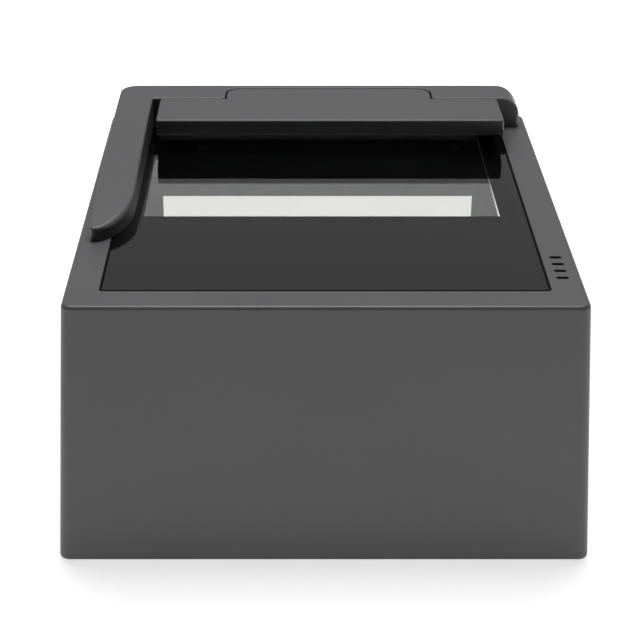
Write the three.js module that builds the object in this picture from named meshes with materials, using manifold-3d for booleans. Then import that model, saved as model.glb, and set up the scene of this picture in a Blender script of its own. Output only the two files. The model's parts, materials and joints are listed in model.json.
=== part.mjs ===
// Full-page passport reader: a tall moulded box with a glass plate let into its top, an L-shaped
// document guide with a hinged T-shaped hold-down hood, and the lit camera chamber below the glass.
// Millimetres. X to the right, Y towards the rear, Z up. Origin on the table, under the middle.
import * as THREE from "three";
import { mergeVertices } from "three/addons/utils/BufferGeometryUtils.js";
import Module from "manifold-3d";

const wasm = await Module();
wasm.setup();

// Casing
const bodyWidth = 167.2; // at glass level
const bodyDepth = 185; // at glass level
const bodyHeight = 91.3; // bottom edge to glass level
const wallDraft = 4.8; // lean of each wall over the height, as moulded
const wall = 2.5;
const cornerRadius = 3.6;
const edgeRadius = 1.3;
const footLift = 0.6;

// Glass and the frame round it
const frameSide = 11.7;
const frameFront = 12.7;
const frameRear = 10.5; // under the guide
const glassThickness = 3;
const glassGap = 0.6; // shadow gap round the glass
const glassSink = 0.1;
const printSide = 8.95; // black print between the glass edge and the clear window
const windowStart = 77.4; // front face to the clear window

// Document guide on the frame
const guideHeight = 12.3;
const guideTipHeight = 4.9; // at the rail's front end
const guideLeftStep = 4.2; // ledge of the frame left showing outside the rail
const guideRightStep = 3.3;
const railWidth = 13.5;
const railStart = 51.7; // front face to the rail's tip
const railSweep = 28; // the tip curves back over this length
const stopDepth = 16.1; // depth of the rear block, whose front wall stops the document
const guideWall = 2.2;

// Hood
const hoodDepth = 26.5;
const hoodThickness = 7.9;
const hoodClearance = 4.3; // slot for the document, over the glass
const hoodLeftGap = 3; // to the rail
const hoodRightInset = 9.2; // from the guide's right end
const tongueWidth = 81.1;
const tongueRearInset = 4.2; // from the rear face
const hoodLip = 5.9; // radius of the lower front edge

// Clearances
const seat = 0.1; // between faces that bear on each other
const film = 0.05; // between bonded layers
const fit = 0.3; // round a piece let into an opening
const overrun = 1; // cutters run this far past the face they cut

// Levels and edges that several pieces share
const glassLevel = footLift + bodyHeight;
const frontY = -bodyDepth / 2;
const rearY = bodyDepth / 2;
const skinBottom = glassLevel - wall;
const glassHalf = bodyWidth / 2 - frameSide;
const glassFront = frontY + frameFront;
const glassRear = rearY - frameRear;
const glassTop = glassLevel - glassSink;
const glassBottom = glassTop - glassThickness;
const windowHalf = glassHalf - printSide;
const windowFront = frontY + windowStart;
const stopY = rearY - stopDepth;
const windowMiddle = (windowFront + stopY) / 2;

const materials = {
  casing: finish("#5b5b5d", 0.55, 0),
  base: finish("#2e2e30", 0.7, 0),
  rubber: finish("#1b1b1c", 0.9, 0),
  screwSteel: finish("#8d8f92", 0.35, 1),
  glass: finish("#dfe6e4", 0.05, 0),
  blackPrint: finish("#060607", 0.3, 0),
  foam: finish("#151515", 0.95, 0),
  chamber: finish("#6f7072", 0.7, 0),
  baffle: finish("#0b0b0c", 0.9, 0),
  diffuser: finish("#f1f1ee", 0.5, 0),
  board: finish("#1d5a36", 0.5, 0),
  camera: finish("#17171a", 0.45, 0),
  lens: finish("#1c2238", 0.05, 0),
  heatsink: finish("#a9abad", 0.45, 1),
  port: finish("#b9bbbd", 0.3, 1),
  jack: finish("#161617", 0.5, 0),
  spring: finish("#9a9ca0", 0.3, 1),
  ribbon: finish("#e6e3da", 0.5, 0),
};

function finish(colour, roughness, metalness) {
  return new THREE.MeshStandardMaterial({ color: colour, roughness, metalness });
}

// Solids from meshes, and the joins and cuts between them

function solid(shape) {
  if (!shape.isBufferGeometry) return shape;
  const bare = shape.clone();
  bare.deleteAttribute("normal");
  bare.deleteAttribute("uv");
  const merged = mergeVertices(bare);
  return new wasm.Manifold(
    new wasm.Mesh({
      numProp: 3,
      vertProperties: new Float32Array(merged.attributes.position.array),
      triVerts: new Uint32Array(merged.index.array),
    }),
  );
}

function join(...shapes) {
  return shapes.map(solid).reduce((whole, next) => whole.add(next));
}

function cut(shape, ...tools) {
  return tools.map(solid).reduce((whole, tool) => whole.subtract(tool), solid(shape));
}

function common(first, second) {
  return solid(first).intersect(solid(second));
}

function geometryOf(shape) {
  if (shape.isBufferGeometry) return shape;
  const mesh = shape.getMesh();
  const geometry = new THREE.BufferGeometry();
  geometry.setAttribute("position", new THREE.BufferAttribute(mesh.vertProperties, 3));
  geometry.setIndex(new THREE.BufferAttribute(mesh.triVerts, 1));
  geometry.computeVertexNormals();
  return geometry;
}

function piece(name, shape, material) {
  const mesh = new THREE.Mesh(geometryOf(shape), material);
  mesh.name = name;
  return mesh;
}

// Basic shapes

function box(x0, x1, y0, y1, z0, z1) {
  const geometry = new THREE.BoxGeometry(x1 - x0, y1 - y0, z1 - z0);
  return geometry.translate((x0 + x1) / 2, (y0 + y1) / 2, (z0 + z1) / 2);
}

// A box that is centred on x and y
function block(x, y, width, depth, z0, z1) {
  return box(x - width / 2, x + width / 2, y - depth / 2, y + depth / 2, z0, z1);
}

function post(x, y, radius, z0, z1, sides = 16) {
  const geometry = new THREE.CylinderGeometry(radius, radius, z1 - z0, sides);
  return geometry.rotateX(Math.PI / 2).translate(x, y, (z0 + z1) / 2);
}

// A round bar along X
function bar(x0, x1, y, z, radius, sides = 16) {
  const geometry = new THREE.CylinderGeometry(radius, radius, x1 - x0, sides);
  return geometry.rotateZ(Math.PI / 2).translate((x0 + x1) / 2, y, z);
}

// A round bar along Y
function spigot(x, y0, y1, z, radius, sides = 16) {
  return new THREE.CylinderGeometry(radius, radius, y1 - y0, sides).translate(x, (y0 + y1) / 2, z);
}

// A turned piece about Z: profile points are (radius, height)
function turned(x, y, profile, sides = 20) {
  const points = profile.map(([radius, height]) => new THREE.Vector2(radius, height));
  return new THREE.LatheGeometry(points, sides).rotateX(Math.PI / 2).translate(x, y, 0);
}

// An outline in X and Y, raised from z0 to z1
function prism(outline, z0, z1, curveSegments = 8) {
  const geometry = new THREE.ExtrudeGeometry(outline, {
    depth: z1 - z0,
    bevelEnabled: false,
    curveSegments,
  });
  return geometry.translate(0, 0, z0);
}

// An outline in Y and Z, carried along X from x0 to x1
function sideways(outline, x0, x1, curveSegments = 8) {
  const geometry = new THREE.ExtrudeGeometry(outline, {
    depth: x1 - x0,
    bevelEnabled: false,
    curveSegments,
  });
  const turn = new THREE.Matrix4().makeBasis(
    new THREE.Vector3(0, 1, 0),
    new THREE.Vector3(0, 0, 1),
    new THREE.Vector3(1, 0, 0),
  );
  return geometry.applyMatrix4(turn).translate(x0, 0, 0);
}

// A closed solid through rings of equal counts of points, each ring convex and level
function loft(rings) {
  const count = rings[0].length;
  const positions = rings.flat().flatMap((p) => [p.x, p.y, p.z]);
  const index = [];
  for (let level = 0; level + 1 < rings.length; level++) {
    for (let i = 0; i < count; i++) {
      const a = level * count + i;
      const b = level * count + ((i + 1) % count);
      index.push(a, b, b + count, a, b + count, a + count);
    }
  }
  const top = (rings.length - 1) * count;
  for (let i = 1; i + 1 < count; i++) {
    index.push(0, i + 1, i);
    index.push(top, top + i, top + i + 1);
  }
  const geometry = new THREE.BufferGeometry();
  geometry.setAttribute("position", new THREE.Float32BufferAttribute(positions, 3));
  geometry.setIndex(index);
  return geometry;
}

function roundedRing(halfWidth, halfDepth, radius, z, steps = 4) {
  const corners = [
    [1, 1],
    [-1, 1],
    [-1, -1],
    [1, -1],
  ];
  const ring = [];
  corners.forEach(([sideX, sideY], quarter) => {
    for (let k = 0; k <= steps; k++) {
      const angle = ((quarter + k / steps) * Math.PI) / 2;
      ring.push(
        new THREE.Vector3(
          sideX * (halfWidth - radius) + radius * Math.cos(angle),
          sideY * (halfDepth - radius) + radius * Math.sin(angle),
          z,
        ),
      );
    }
  });
  return ring;
}

function roundedOutline(x0, x1, y0, y1, radius) {
  const outline = new THREE.Shape();
  outline.moveTo(x0 + radius, y0);
  outline.lineTo(x1 - radius, y0);
  outline.absarc(x1 - radius, y0 + radius, radius, -Math.PI / 2, 0);
  outline.lineTo(x1, y1 - radius);
  outline.absarc(x1 - radius, y1 - radius, radius, 0, Math.PI / 2);
  outline.lineTo(x0 + radius, y1);
  outline.absarc(x0 + radius, y1 - radius, radius, Math.PI / 2, Math.PI);
  outline.lineTo(x0, y0 + radius);
  outline.absarc(x0 + radius, y0 + radius, radius, Math.PI, (Math.PI * 3) / 2);
  return outline;
}

// How far the wall stands out beyond its place at glass level, at height z
function lean(z) {
  return (wallDraft * (glassLevel - z)) / bodyHeight;
}

// Screws: a low round head with a plain shank standing on it
const screw = { head: 2.2, headHeight: 1.6, shank: 1.15, hole: 1.35, clear: 1.6, sides: 8 };

function screwShape(length) {
  return turned(
    0,
    0,
    [
      [0, 0],
      [screw.head, 0],
      [screw.head, screw.headHeight],
      [screw.shank, screw.headHeight],
      [screw.shank, screw.headHeight + length],
      [0, screw.headHeight + length],
    ],
    screw.sides,
  );
}

// A screw driven upwards, its head's lower face at z
function screwUp(name, x, y, z, length) {
  const mesh = piece(name, screwShape(length), materials.screwSteel);
  mesh.position.set(x, y, z);
  return mesh;
}

// A screw driven downwards, its head's upper face at z
function screwDown(name, x, y, z, length) {
  const mesh = screwUp(name, x, y, z, length);
  mesh.rotation.x = Math.PI;
  return mesh;
}

const sides = [
  ["left", -1],
  ["right", 1],
];
const ends = [
  ["front", -1],
  ["rear", 1],
];

function corners() {
  return ends.flatMap(([end, signY]) =>
    sides.map(([side, signX]) => ({ name: `${end}_${side}`, signX, signY })),
  );
}

// Housing shell: four leaning walls and the top frame in one moulding, open below

const pillar = { radius: 4, inset: 4.7, holeDepth: 11 };
const pillarX = bodyWidth / 2 - wall - pillar.inset;
const pillarY = bodyDepth / 2 - wall - pillar.inset;
const plateThickness = 3;
const plateTop = footLift + plateThickness;

const rim = { wall: 2.5, ledge: 3, ledgeThickness: 2.5 };
const gasketThickness = 0.6;
const printThickness = 0.2;
const pocketHalf = glassHalf + glassGap;
const pocketFront = glassFront - glassGap;
const pocketRear = glassRear + glassGap;
const printTop = glassBottom - film;
const gasketTop = printTop - printThickness - film;
const ledgeTop = gasketTop - gasketThickness - film;
const ledgeBottom = ledgeTop - rim.ledgeThickness;

const slot = { count: 4, pitch: 5.5, length: 4.1, width: 1.8, start: 22.5, inset: 6.3 };
const slotX = bodyWidth / 2 - slot.inset;

const buzzerSize = { radius: 6, height: 7, ring: 1.1, lip: 1.2, seatWidth: 1.5, gap: 0.2 };
const buzzerDrop = 2.45; // from the glass ledge's underside, past the chamber's flange
const buzzerRingRadius = buzzerSize.radius + buzzerSize.gap + buzzerSize.ring;
const buzzerX = bodyWidth / 2 - wall / 2 - buzzerRingRadius;
const buzzerY = frontY + slot.start + (slot.pitch * (slot.count - 1)) / 2;
const buzzerTop = ledgeBottom - buzzerDrop;
const buzzerBottom = buzzerTop - buzzerSize.height;

const boxBoss = { radius: 2.3, spreadShare: 0.48, holeDepth: 5.2 };
const boxBossX = (bodyWidth / 2) * boxBoss.spreadShare;
const boxBossRoom = bodyDepth / 2 - wall - pocketRear - rim.wall; // from the glass rim to the rear wall
const boxBossY = pocketRear + rim.wall + boxBossRoom / 2;

const guideScrew = { boss: 2.7, sideInset: 6.3, frontShare: 0.4, rearShare: 0.72, leftX: 26, rightX: 20 };
const guideBossX = -bodyWidth / 2 + guideScrew.sideInset;
const guideBossYs = [guideScrew.frontShare, guideScrew.rearShare].map(
  (share) => frontY + bodyDepth * share,
);
const guideRearBossY = boxBossY;
const guideRearBossXs = [-bodyWidth / 2 + guideScrew.leftX, bodyWidth / 2 - guideScrew.rightX];

const port = { width: 12, height: 11, depth: 17.5, recess: 0.4 };
const portX = 26;
const jack = { width: 9, height: 11, depth: 14 };
const jackX = -28.5;
const boardThickness = 1.6;
const boardStandoff = 4;
const boardBottom = plateTop + boardStandoff + seat;
const boardTop = boardBottom + boardThickness;
const portBottom = boardTop + seat;

function guideScrewPlaces() {
  return [
    { name: "guide_screw_rail_front", x: guideBossX, y: guideBossYs[0] },
    { name: "guide_screw_rail_rear", x: guideBossX, y: guideBossYs[1] },
    { name: "guide_screw_stop_left", x: guideRearBossXs[0], y: guideRearBossY },
    { name: "guide_screw_stop_right", x: guideRearBossXs[1], y: guideRearBossY },
  ];
}

function casingRings(inset, radius, levels) {
  return levels.map(({ z, tuck = 0 }) =>
    roundedRing(
      bodyWidth / 2 + lean(z) - inset - tuck,
      bodyDepth / 2 + lean(z) - inset - tuck,
      radius - tuck,
      z,
    ),
  );
}

function edgeLevels(steps = 3) {
  const levels = [{ z: footLift }];
  for (let k = 0; k <= steps; k++) {
    const angle = ((k / steps) * Math.PI) / 2;
    levels.push({
      z: glassLevel - edgeRadius + edgeRadius * Math.sin(angle),
      tuck: edgeRadius * (1 - Math.cos(angle)),
    });
  }
  return levels;
}

function housingShell() {
  const outside = loft(casingRings(0, cornerRadius, edgeLevels()));
  const innerRadius = cornerRadius - wall;
  const hollowLevels = [{ z: footLift - overrun }, { z: skinBottom }];
  const hollow = loft(casingRings(wall, innerRadius, hollowLevels));
  const rimHalf = pocketHalf + rim.wall;
  const rimBlock = box(
    -rimHalf,
    rimHalf,
    pocketFront - rim.wall,
    pocketRear + rim.wall,
    ledgeBottom,
    glassLevel - wall / 2,
  );
  const bosses = [];
  const holes = [];
  for (const { signX, signY } of corners()) {
    const x = signX * pillarX;
    const y = signY * pillarY;
    bosses.push(post(x, y, pillar.radius, plateTop + seat, skinBottom + wall / 2));
    bosses.push(pillarWeb(x, y, signX, signY));
    holes.push(post(x, y, screw.hole, plateTop - overrun, plateTop + pillar.holeDepth, screw.sides));
    const bossX = signX * boxBossX;
    const bossY = signY * boxBossY;
    bosses.push(post(bossX, bossY, boxBoss.radius, ledgeBottom, skinBottom + wall / 2));
    const holeTop = ledgeBottom + boxBoss.holeDepth;
    holes.push(post(bossX, bossY, screw.hole, ledgeBottom - overrun, holeTop, screw.sides));
  }
  for (const { x, y } of guideScrewPlaces()) {
    holes.push(
      post(x, y, screw.clear, skinBottom - overrun, glassLevel + overrun, screw.sides),
    );
  }
  const ringBottom = buzzerBottom - buzzerSize.lip;
  const ring = post(buzzerX, buzzerY, buzzerRingRadius, ringBottom, buzzerTop);
  const ringBore = post(
    buzzerX,
    buzzerY,
    buzzerSize.radius + buzzerSize.gap,
    buzzerBottom - seat,
    buzzerTop + overrun,
  );
  const ringMouth = post(
    buzzerX,
    buzzerY,
    buzzerSize.radius - buzzerSize.seatWidth,
    ringBottom - overrun,
    buzzerTop,
  );
  for (let i = 0; i < slot.count; i++) {
    const y = frontY + slot.start + slot.pitch * i;
    holes.push(
      block(slotX, y, slot.length, slot.width, skinBottom - overrun, glassLevel + overrun),
    );
  }
  const pocket = box(
    -pocketHalf,
    pocketHalf,
    pocketFront,
    pocketRear,
    ledgeTop,
    glassLevel + overrun,
  );
  const throughHole = box(
    -pocketHalf + rim.ledge,
    pocketHalf - rim.ledge,
    pocketFront + rim.ledge,
    pocketRear - rim.ledge,
    ledgeBottom - overrun,
    glassLevel + overrun,
  );
  const portReach = rearY + wallDraft + overrun;
  const portHole = box(
    portX - port.width / 2 - fit,
    portX + port.width / 2 + fit,
    rearY - wall - overrun,
    portReach,
    portBottom - fit,
    portBottom + port.height + fit,
  );
  const jackHole = box(
    jackX - jack.width / 2 - fit,
    jackX + jack.width / 2 + fit,
    rearY - wall - overrun,
    portReach,
    portBottom - fit,
    portBottom + jack.height + fit,
  );
  const walls = cut(outside, hollow);
  const ringPart = cut(ring, ringBore, ringMouth);
  const raw = join(walls, rimBlock, ringPart, ...bosses);
  return piece(
    "housing_shell",
    cut(raw, pocket, throughHole, portHole, jackHole, ...holes),
    materials.casing,
  );
}

// A short rib from a corner pillar to both walls
function pillarWeb(x, y, signX, signY) {
  const half = wall / 2;
  const reachX = bodyWidth / 2 - half;
  const reachY = bodyDepth / 2 - half;
  const low = plateTop + seat;
  const xs = [x, signX * reachX].sort((a, b) => a - b);
  const ys = [y, signY * reachY].sort((a, b) => a - b);
  return join(
    box(xs[0], xs[1], y - half / 2, y + half / 2, low, skinBottom + half),
    box(x - half / 2, x + half / 2, ys[0], ys[1], low, skinBottom + half),
  );
}

// Base plate with its foot recesses, air slots and board standoffs

const foot = { radius: 6.5, recess: 0.5, insetX: 16, insetY: 17, chamfer: 0.6, fit: 0.15 };
const footX = bodyWidth / 2 - foot.insetX;
const footY = bodyDepth / 2 - foot.insetY;
const vents = { count: 7, pitch: 7, length: 38, width: 2.2, fromMiddle: 38 };
const standoff = { radius: 3, holeDepth: 4.2 };
const mainBoard = { halfWidth: 58, front: 71, rearGap: 2.8, holeInset: 6, rearHoleInset: 24 };
const mainFront = frontY + mainBoard.front;
const mainRear = rearY + lean(boardTop) - wall - mainBoard.rearGap;
const readerBoard = { left: -42, right: 30, frontInset: 12, depth: 42, holeInset: 5 };
const readerFront = frontY + readerBoard.frontInset;
const readerRear = readerFront + readerBoard.depth;
const counterbore = { radius: 2.7, depth: 1.7 };

function mainBoardHoles() {
  const ys = [mainFront + mainBoard.holeInset, mainRear - mainBoard.rearHoleInset];
  const x = mainBoard.halfWidth - mainBoard.holeInset;
  return ys.flatMap((y, row) =>
    sides.map(([side, signX]) => ({ name: `board_screw_${ends[row][0]}_${side}`, x: signX * x, y })),
  );
}

function readerBoardHoles() {
  const inset = readerBoard.holeInset;
  return [
    { name: "reader_screw_left", x: readerBoard.left + inset, y: readerFront + inset },
    { name: "reader_screw_right", x: readerBoard.right - inset, y: readerRear - inset },
  ];
}

function basePlate() {
  const edge = wall + fit;
  const radius = cornerRadius - wall;
  const slab = loft(casingRings(edge, radius, [{ z: footLift }, { z: plateTop }]));
  const adds = [];
  const cuts = [];
  for (const { signX, signY } of corners()) {
    cuts.push(
      post(
        signX * footX,
        signY * footY,
        foot.radius + foot.fit,
        footLift - overrun,
        footLift + foot.recess,
      ),
    );
    const x = signX * pillarX;
    const y = signY * pillarY;
    const bore = post(x, y, screw.clear, footLift - overrun, plateTop + overrun, screw.sides);
    const sink = post(x, y, counterbore.radius, footLift - overrun, footLift + counterbore.depth);
    cuts.push(bore, sink);
  }
  for (const { x, y } of [...mainBoardHoles(), ...readerBoardHoles()]) {
    adds.push(post(x, y, standoff.radius, footLift + wall, boardBottom - seat));
    const holeBottom = boardBottom - standoff.holeDepth;
    cuts.push(post(x, y, screw.hole, holeBottom, boardBottom + overrun, screw.sides));
  }
  for (let i = 0; i < vents.count; i++) {
    const x = (i - (vents.count - 1) / 2) * vents.pitch;
    cuts.push(
      block(x, vents.fromMiddle, vents.width, vents.length, footLift - overrun, plateTop + overrun),
    );
  }
  return piece("base_plate", cut(join(slab, ...adds), ...cuts), materials.base);
}

function feet() {
  const top = footLift + foot.recess - seat;
  const profile = [
    [0, 0],
    [foot.radius - foot.chamfer, 0],
    [foot.radius, foot.chamfer],
    [foot.radius, top],
    [0, top],
  ];
  return corners().map(({ name, signX, signY }) => {
    const mesh = piece(`foot_${name}`, turned(0, 0, profile), materials.rubber);
    mesh.position.set(signX * footX, signY * footY, 0);
    return mesh;
  });
}

function baseScrews() {
  const seatZ = footLift + counterbore.depth - seat - screw.headHeight;
  const length = pillar.holeDepth;
  return corners().map(({ name, signX, signY }) =>
    screwUp(`base_screw_${name}`, signX * pillarX, signY * pillarY, seatZ, length),
  );
}

// Glass, its printed border and the foam under it

const glassCorner = 1.5;
const gasketInset = 0.5;

function glassPlate() {
  const outline = roundedOutline(-glassHalf, glassHalf, glassFront, glassRear, glassCorner);
  return piece("glass_plate", prism(outline, glassBottom, glassTop, 4), materials.glass);
}

function glassBorder() {
  const outline = roundedOutline(
    -glassHalf + film,
    glassHalf - film,
    glassFront + film,
    glassRear - film,
    glassCorner,
  );
  const window = box(
    -windowHalf,
    windowHalf,
    windowFront,
    stopY,
    printTop - printThickness - overrun,
    printTop + overrun,
  );
  const sheet = prism(outline, printTop - printThickness, printTop, 4);
  return piece("glass_border", cut(sheet, window), materials.blackPrint);
}

function glassGasket() {
  const low = gasketTop - gasketThickness;
  const outer = box(
    -pocketHalf + gasketInset,
    pocketHalf - gasketInset,
    pocketFront + gasketInset,
    pocketRear - gasketInset,
    low,
    gasketTop,
  );
  const inner = box(
    -pocketHalf + rim.ledge,
    pocketHalf - rim.ledge,
    pocketFront + rim.ledge,
    pocketRear - rim.ledge,
    low - overrun,
    gasketTop + overrun,
  );
  return piece("glass_gasket", cut(outer, inner), materials.foam);
}

// Document guide: the rail along the left and the rear block with its notch for the hood

const guideBottom = glassLevel + seat;
const guideTop = glassLevel + guideHeight;
const guideLeft = -bodyWidth / 2 + guideLeftStep;
const guideRight = bodyWidth / 2 - guideRightStep;
const railInner = guideLeft + railWidth;
const guideCorner = 7;
const rollOff = { width: 9.6, drop: 8.3 }; // rounded fall of the block's right end
const railTopShares = { firstY: 0.24, firstZ: 0.54, secondY: 0.56 }; // handles of the rail's top line

const hoodLeft = railInner + hoodLeftGap;
const hoodRight = guideRight - hoodRightInset;
const hoodMiddle = (hoodLeft + hoodRight) / 2;
const hoodBottom = glassLevel + hoodClearance;
const hoodTop = hoodBottom + hoodThickness;
const tongueRear = rearY - tongueRearInset;
const tongueCorner = 5.7;
const notchGap = 0.7; // seam at the tongue's sides
const notchRearGap = 0.9; // seam behind it, for the swing
const stopGap = 1.3; // between the hood's bar and the block, for the swing
const hoodRear = stopY - stopGap;
const hoodFront = stopY - hoodDepth;
const hinge = { drop: 4.4, inset: 3.5, rod: 1.1, bore: 1.4, cheek: 4, blind: 0.3 };
const hingeY = tongueRear - hinge.inset;
const hingeZ = hoodTop - hinge.drop;
const notchHalf = tongueWidth / 2 + notchGap;
const notchFloor = 1.6;
const stopPad = { width: 6, depth: 2.4, fromFront: 2.6, offset: 33, gap: 0.15 };

// The side view of the rail and block, in Y and Z, lowered and shortened by inset
function guideSide(inset) {
  const tipY = frontY + railStart;
  const bend = stopY - tipY;
  const rise = guideHeight - guideTipHeight;
  const tipZ = glassLevel + guideTipHeight - inset;
  const topZ = guideTop - inset;
  const outline = new THREE.Shape();
  outline.moveTo(tipY - overrun, guideBottom - overrun);
  outline.lineTo(rearY - inset, guideBottom - overrun);
  outline.lineTo(rearY - inset, topZ);
  outline.lineTo(stopY, topZ);
  outline.bezierCurveTo(
    tipY + bend * railTopShares.secondY,
    topZ,
    tipY + bend * railTopShares.firstY,
    tipZ + rise * railTopShares.firstZ,
    tipY,
    tipZ,
  );
  outline.lineTo(tipY - overrun, tipZ - overrun / 3);
  return outline;
}

// The plan of the rail and block in X and Y, drawn in by inset
function guidePlan(inset) {
  const left = guideLeft + inset;
  const inner = railInner - inset;
  const right = guideRight - inset;
  const back = rearY - inset;
  const corner = guideCorner - inset;
  const tip = frontY + railStart + inset;
  const outline = new THREE.Shape();
  outline.moveTo(left, tip);
  outline.absellipse(left, tip + railSweep, inner - left, railSweep, -Math.PI / 2, 0, false, 0);
  outline.lineTo(inner, stopY + inset);
  outline.lineTo(right, stopY + inset);
  outline.lineTo(right, back - corner);
  outline.absarc(right - corner, back - corner, corner, 0, Math.PI / 2);
  outline.lineTo(left + corner, back);
  outline.absarc(left + corner, back - corner, corner, Math.PI / 2, Math.PI);
  return outline;
}

// What the rounded right end takes away, drawn in X and Z and cut along Y
function rollOffCutter(inset) {
  const centreX = guideRight - rollOff.width - inset;
  const centreZ = guideTop - rollOff.drop - inset;
  const outline = new THREE.Shape();
  outline.moveTo(centreX, guideTop + overrun);
  outline.lineTo(centreX, centreZ + rollOff.drop);
  outline.absellipse(centreX, centreZ, rollOff.width, rollOff.drop, Math.PI / 2, 0, true, 0);
  outline.lineTo(guideRight + overrun, centreZ);
  outline.lineTo(guideRight + overrun, guideTop + overrun);
  const length = stopDepth + overrun * 2;
  const cutter = new THREE.ExtrudeGeometry(outline, {
    depth: length,
    bevelEnabled: false,
    curveSegments: 12,
  });
  return cutter.rotateX(Math.PI / 2).translate(0, rearY + overrun, 0);
}

function guideForm(inset) {
  const high = guideTop + overrun;
  const low = inset > 0 ? guideBottom - overrun : guideBottom;
  const plan = prism(guidePlan(inset), low, high, 16);
  const side = sideways(guideSide(inset), guideLeft - overrun, guideRight + overrun, 16);
  return cut(common(plan, side), rollOffCutter(inset));
}

// The notch's outline, wider than the tongue by gap at the sides and rear
function tongueOutline(sideGap, rearGap, front) {
  const left = hoodMiddle - tongueWidth / 2 - sideGap;
  const right = hoodMiddle + tongueWidth / 2 + sideGap;
  const back = tongueRear + rearGap;
  const radius = tongueCorner;
  const outline = new THREE.Shape();
  outline.moveTo(left, front);
  outline.lineTo(right, front);
  outline.lineTo(right, back - radius);
  outline.absarc(right - radius, back - radius, radius, 0, Math.PI / 2);
  outline.lineTo(left + radius, back);
  outline.absarc(left + radius, back - radius, radius, Math.PI / 2, Math.PI);
  return outline;
}

function documentGuide() {
  const notchTray = prism(
    tongueOutline(notchGap + guideWall, notchRearGap + guideWall, stopY),
    guideBottom,
    guideTop + overrun,
  );
  const notch = prism(
    tongueOutline(notchGap, notchRearGap, stopY - overrun),
    guideBottom + notchFloor,
    guideTop + overrun,
  );
  const shell = cut(guideForm(0), guideForm(guideWall));
  const withinSkin = guideForm(guideWall / 2);
  const adds = [common(notchTray, withinSkin)];
  const cuts = [notch];
  for (const { x, y } of guideScrewPlaces()) {
    const boss = post(x, y, guideScrew.boss, guideBottom, guideTop + overrun, 12);
    adds.push(common(boss, withinSkin));
    const holeTop = guideBottom + guideTipHeight;
    cuts.push(post(x, y, screw.hole, guideBottom - overrun, holeTop, screw.sides));
  }
  for (const [, signX] of sides) {
    const cheekX = hoodMiddle + signX * (notchHalf + hinge.cheek / 2);
    const cheek = block(cheekX, hingeY, hinge.cheek, hinge.cheek * 2, guideBottom, guideTop + overrun);
    adds.push(common(cheek, withinSkin));
  }
  const boreHalf = notchHalf + hinge.cheek - hinge.blind;
  cuts.push(bar(hoodMiddle - boreHalf, hoodMiddle + boreHalf, hingeY, hingeZ, hinge.bore));
  let whole = cut(join(shell, ...adds), ...cuts);
  for (const [, signX] of sides) {
    const pad = block(
      hoodMiddle + signX * stopPad.offset,
      stopY + stopPad.fromFront,
      stopPad.width,
      stopPad.depth,
      guideBottom + notchFloor / 2,
      hoodBottom - stopPad.gap,
    );
    whole = join(whole, pad);
  }
  return piece("document_guide", whole, materials.casing);
}

function guideScrews() {
  const top = skinBottom - seat - screw.headHeight;
  const length = wall + guideTipHeight - seat;
  return guideScrewPlaces().map(({ name, x, y }) => screwUp(name, x, y, top, length));
}

function hingeRod() {
  const half = notchHalf + hinge.cheek - hinge.blind * 2;
  return piece(
    "hinge_rod",
    bar(hoodMiddle - half, hoodMiddle + half, hingeY, hingeZ, hinge.rod),
    materials.screwSteel,
  );
}

// Return springs on the rod: a helix with one leg on the notch floor and one under the tongue
const spring = { wire: 0.6, coil: 1.9, turns: 5, pitch: 0.95, legDown: 5.4, legBack: 2, offset: 20 };
const springPocket = { width: 8.4, front: 6.6, roof: 1.7, back: 0.9 };

class SpringLine extends THREE.Curve {
  getPoint(t, target = new THREE.Vector3()) {
    const helix = (spring.turns + 0.5) * Math.PI * 2 * spring.coil;
    const whole = spring.legDown + helix + spring.legBack;
    const along = t * whole;
    const halfLength = (spring.pitch * (spring.turns + 0.5)) / 2;
    if (along < spring.legDown) {
      const left = spring.legDown - along;
      return target.set(-halfLength, -left, -spring.coil - left * legSlope());
    }
    if (along < spring.legDown + helix) {
      const turn = (along - spring.legDown) / spring.coil;
      return target.set(
        -halfLength + (spring.pitch * turn) / (Math.PI * 2),
        spring.coil * Math.sin(turn),
        -spring.coil * Math.cos(turn),
      );
    }
    const past = along - spring.legDown - helix;
    return target.set(halfLength, -past, spring.coil);
  }
}

function legSlope() {
  const floor = guideBottom + notchFloor + fit + spring.wire / 2;
  return (hingeZ - spring.coil - floor) / spring.legDown;
}

function wireAngles(count = 5) {
  return Array.from({ length: count }, (_, k) => (k / count) * Math.PI * 2);
}

function torsionSprings() {
  const wire = new THREE.Shape();
  wireAngles().forEach((angle, k) => {
    const x = (spring.wire / 2) * Math.cos(angle);
    const y = (spring.wire / 2) * Math.sin(angle);
    if (k === 0) wire.moveTo(x, y);
    else wire.lineTo(x, y);
  });
  return sides.map(([side, signX]) => {
    const geometry = new THREE.ExtrudeGeometry(wire, {
      steps: 54,
      bevelEnabled: false,
      extrudePath: new SpringLine(),
    });
    const mesh = piece(`torsion_spring_${side}`, solid(geometry), materials.spring);
    mesh.position.set(hoodMiddle + signX * spring.offset, hingeY, hingeZ);
    return mesh;
  });
}

// Hood, in the hinge's own frame: a T-shaped cover with a plate closing its underside

const hoodEdge = 0.8; // rounded top edges
const hoodWall = 1.9;
const liner = { thickness: 1.4, gap: 0.2, lipSpace: 1.6 };
const hoodScrewSpreadShare = 0.37;
const hoodBoss = 3;
const localTop = hoodTop - hingeZ;
const localBottom = hoodBottom - hingeZ;
const localFront = hoodFront - hingeY;
const localRear = hoodRear - hingeY;
const localLeft = hoodLeft - hoodMiddle;
const localRight = hoodRight - hoodMiddle;
const linerFront = localFront + hoodLip + liner.lipSpace;
const linerRear = localRear - hoodWall;
const linerHalf = localRight - hoodWall;

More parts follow.
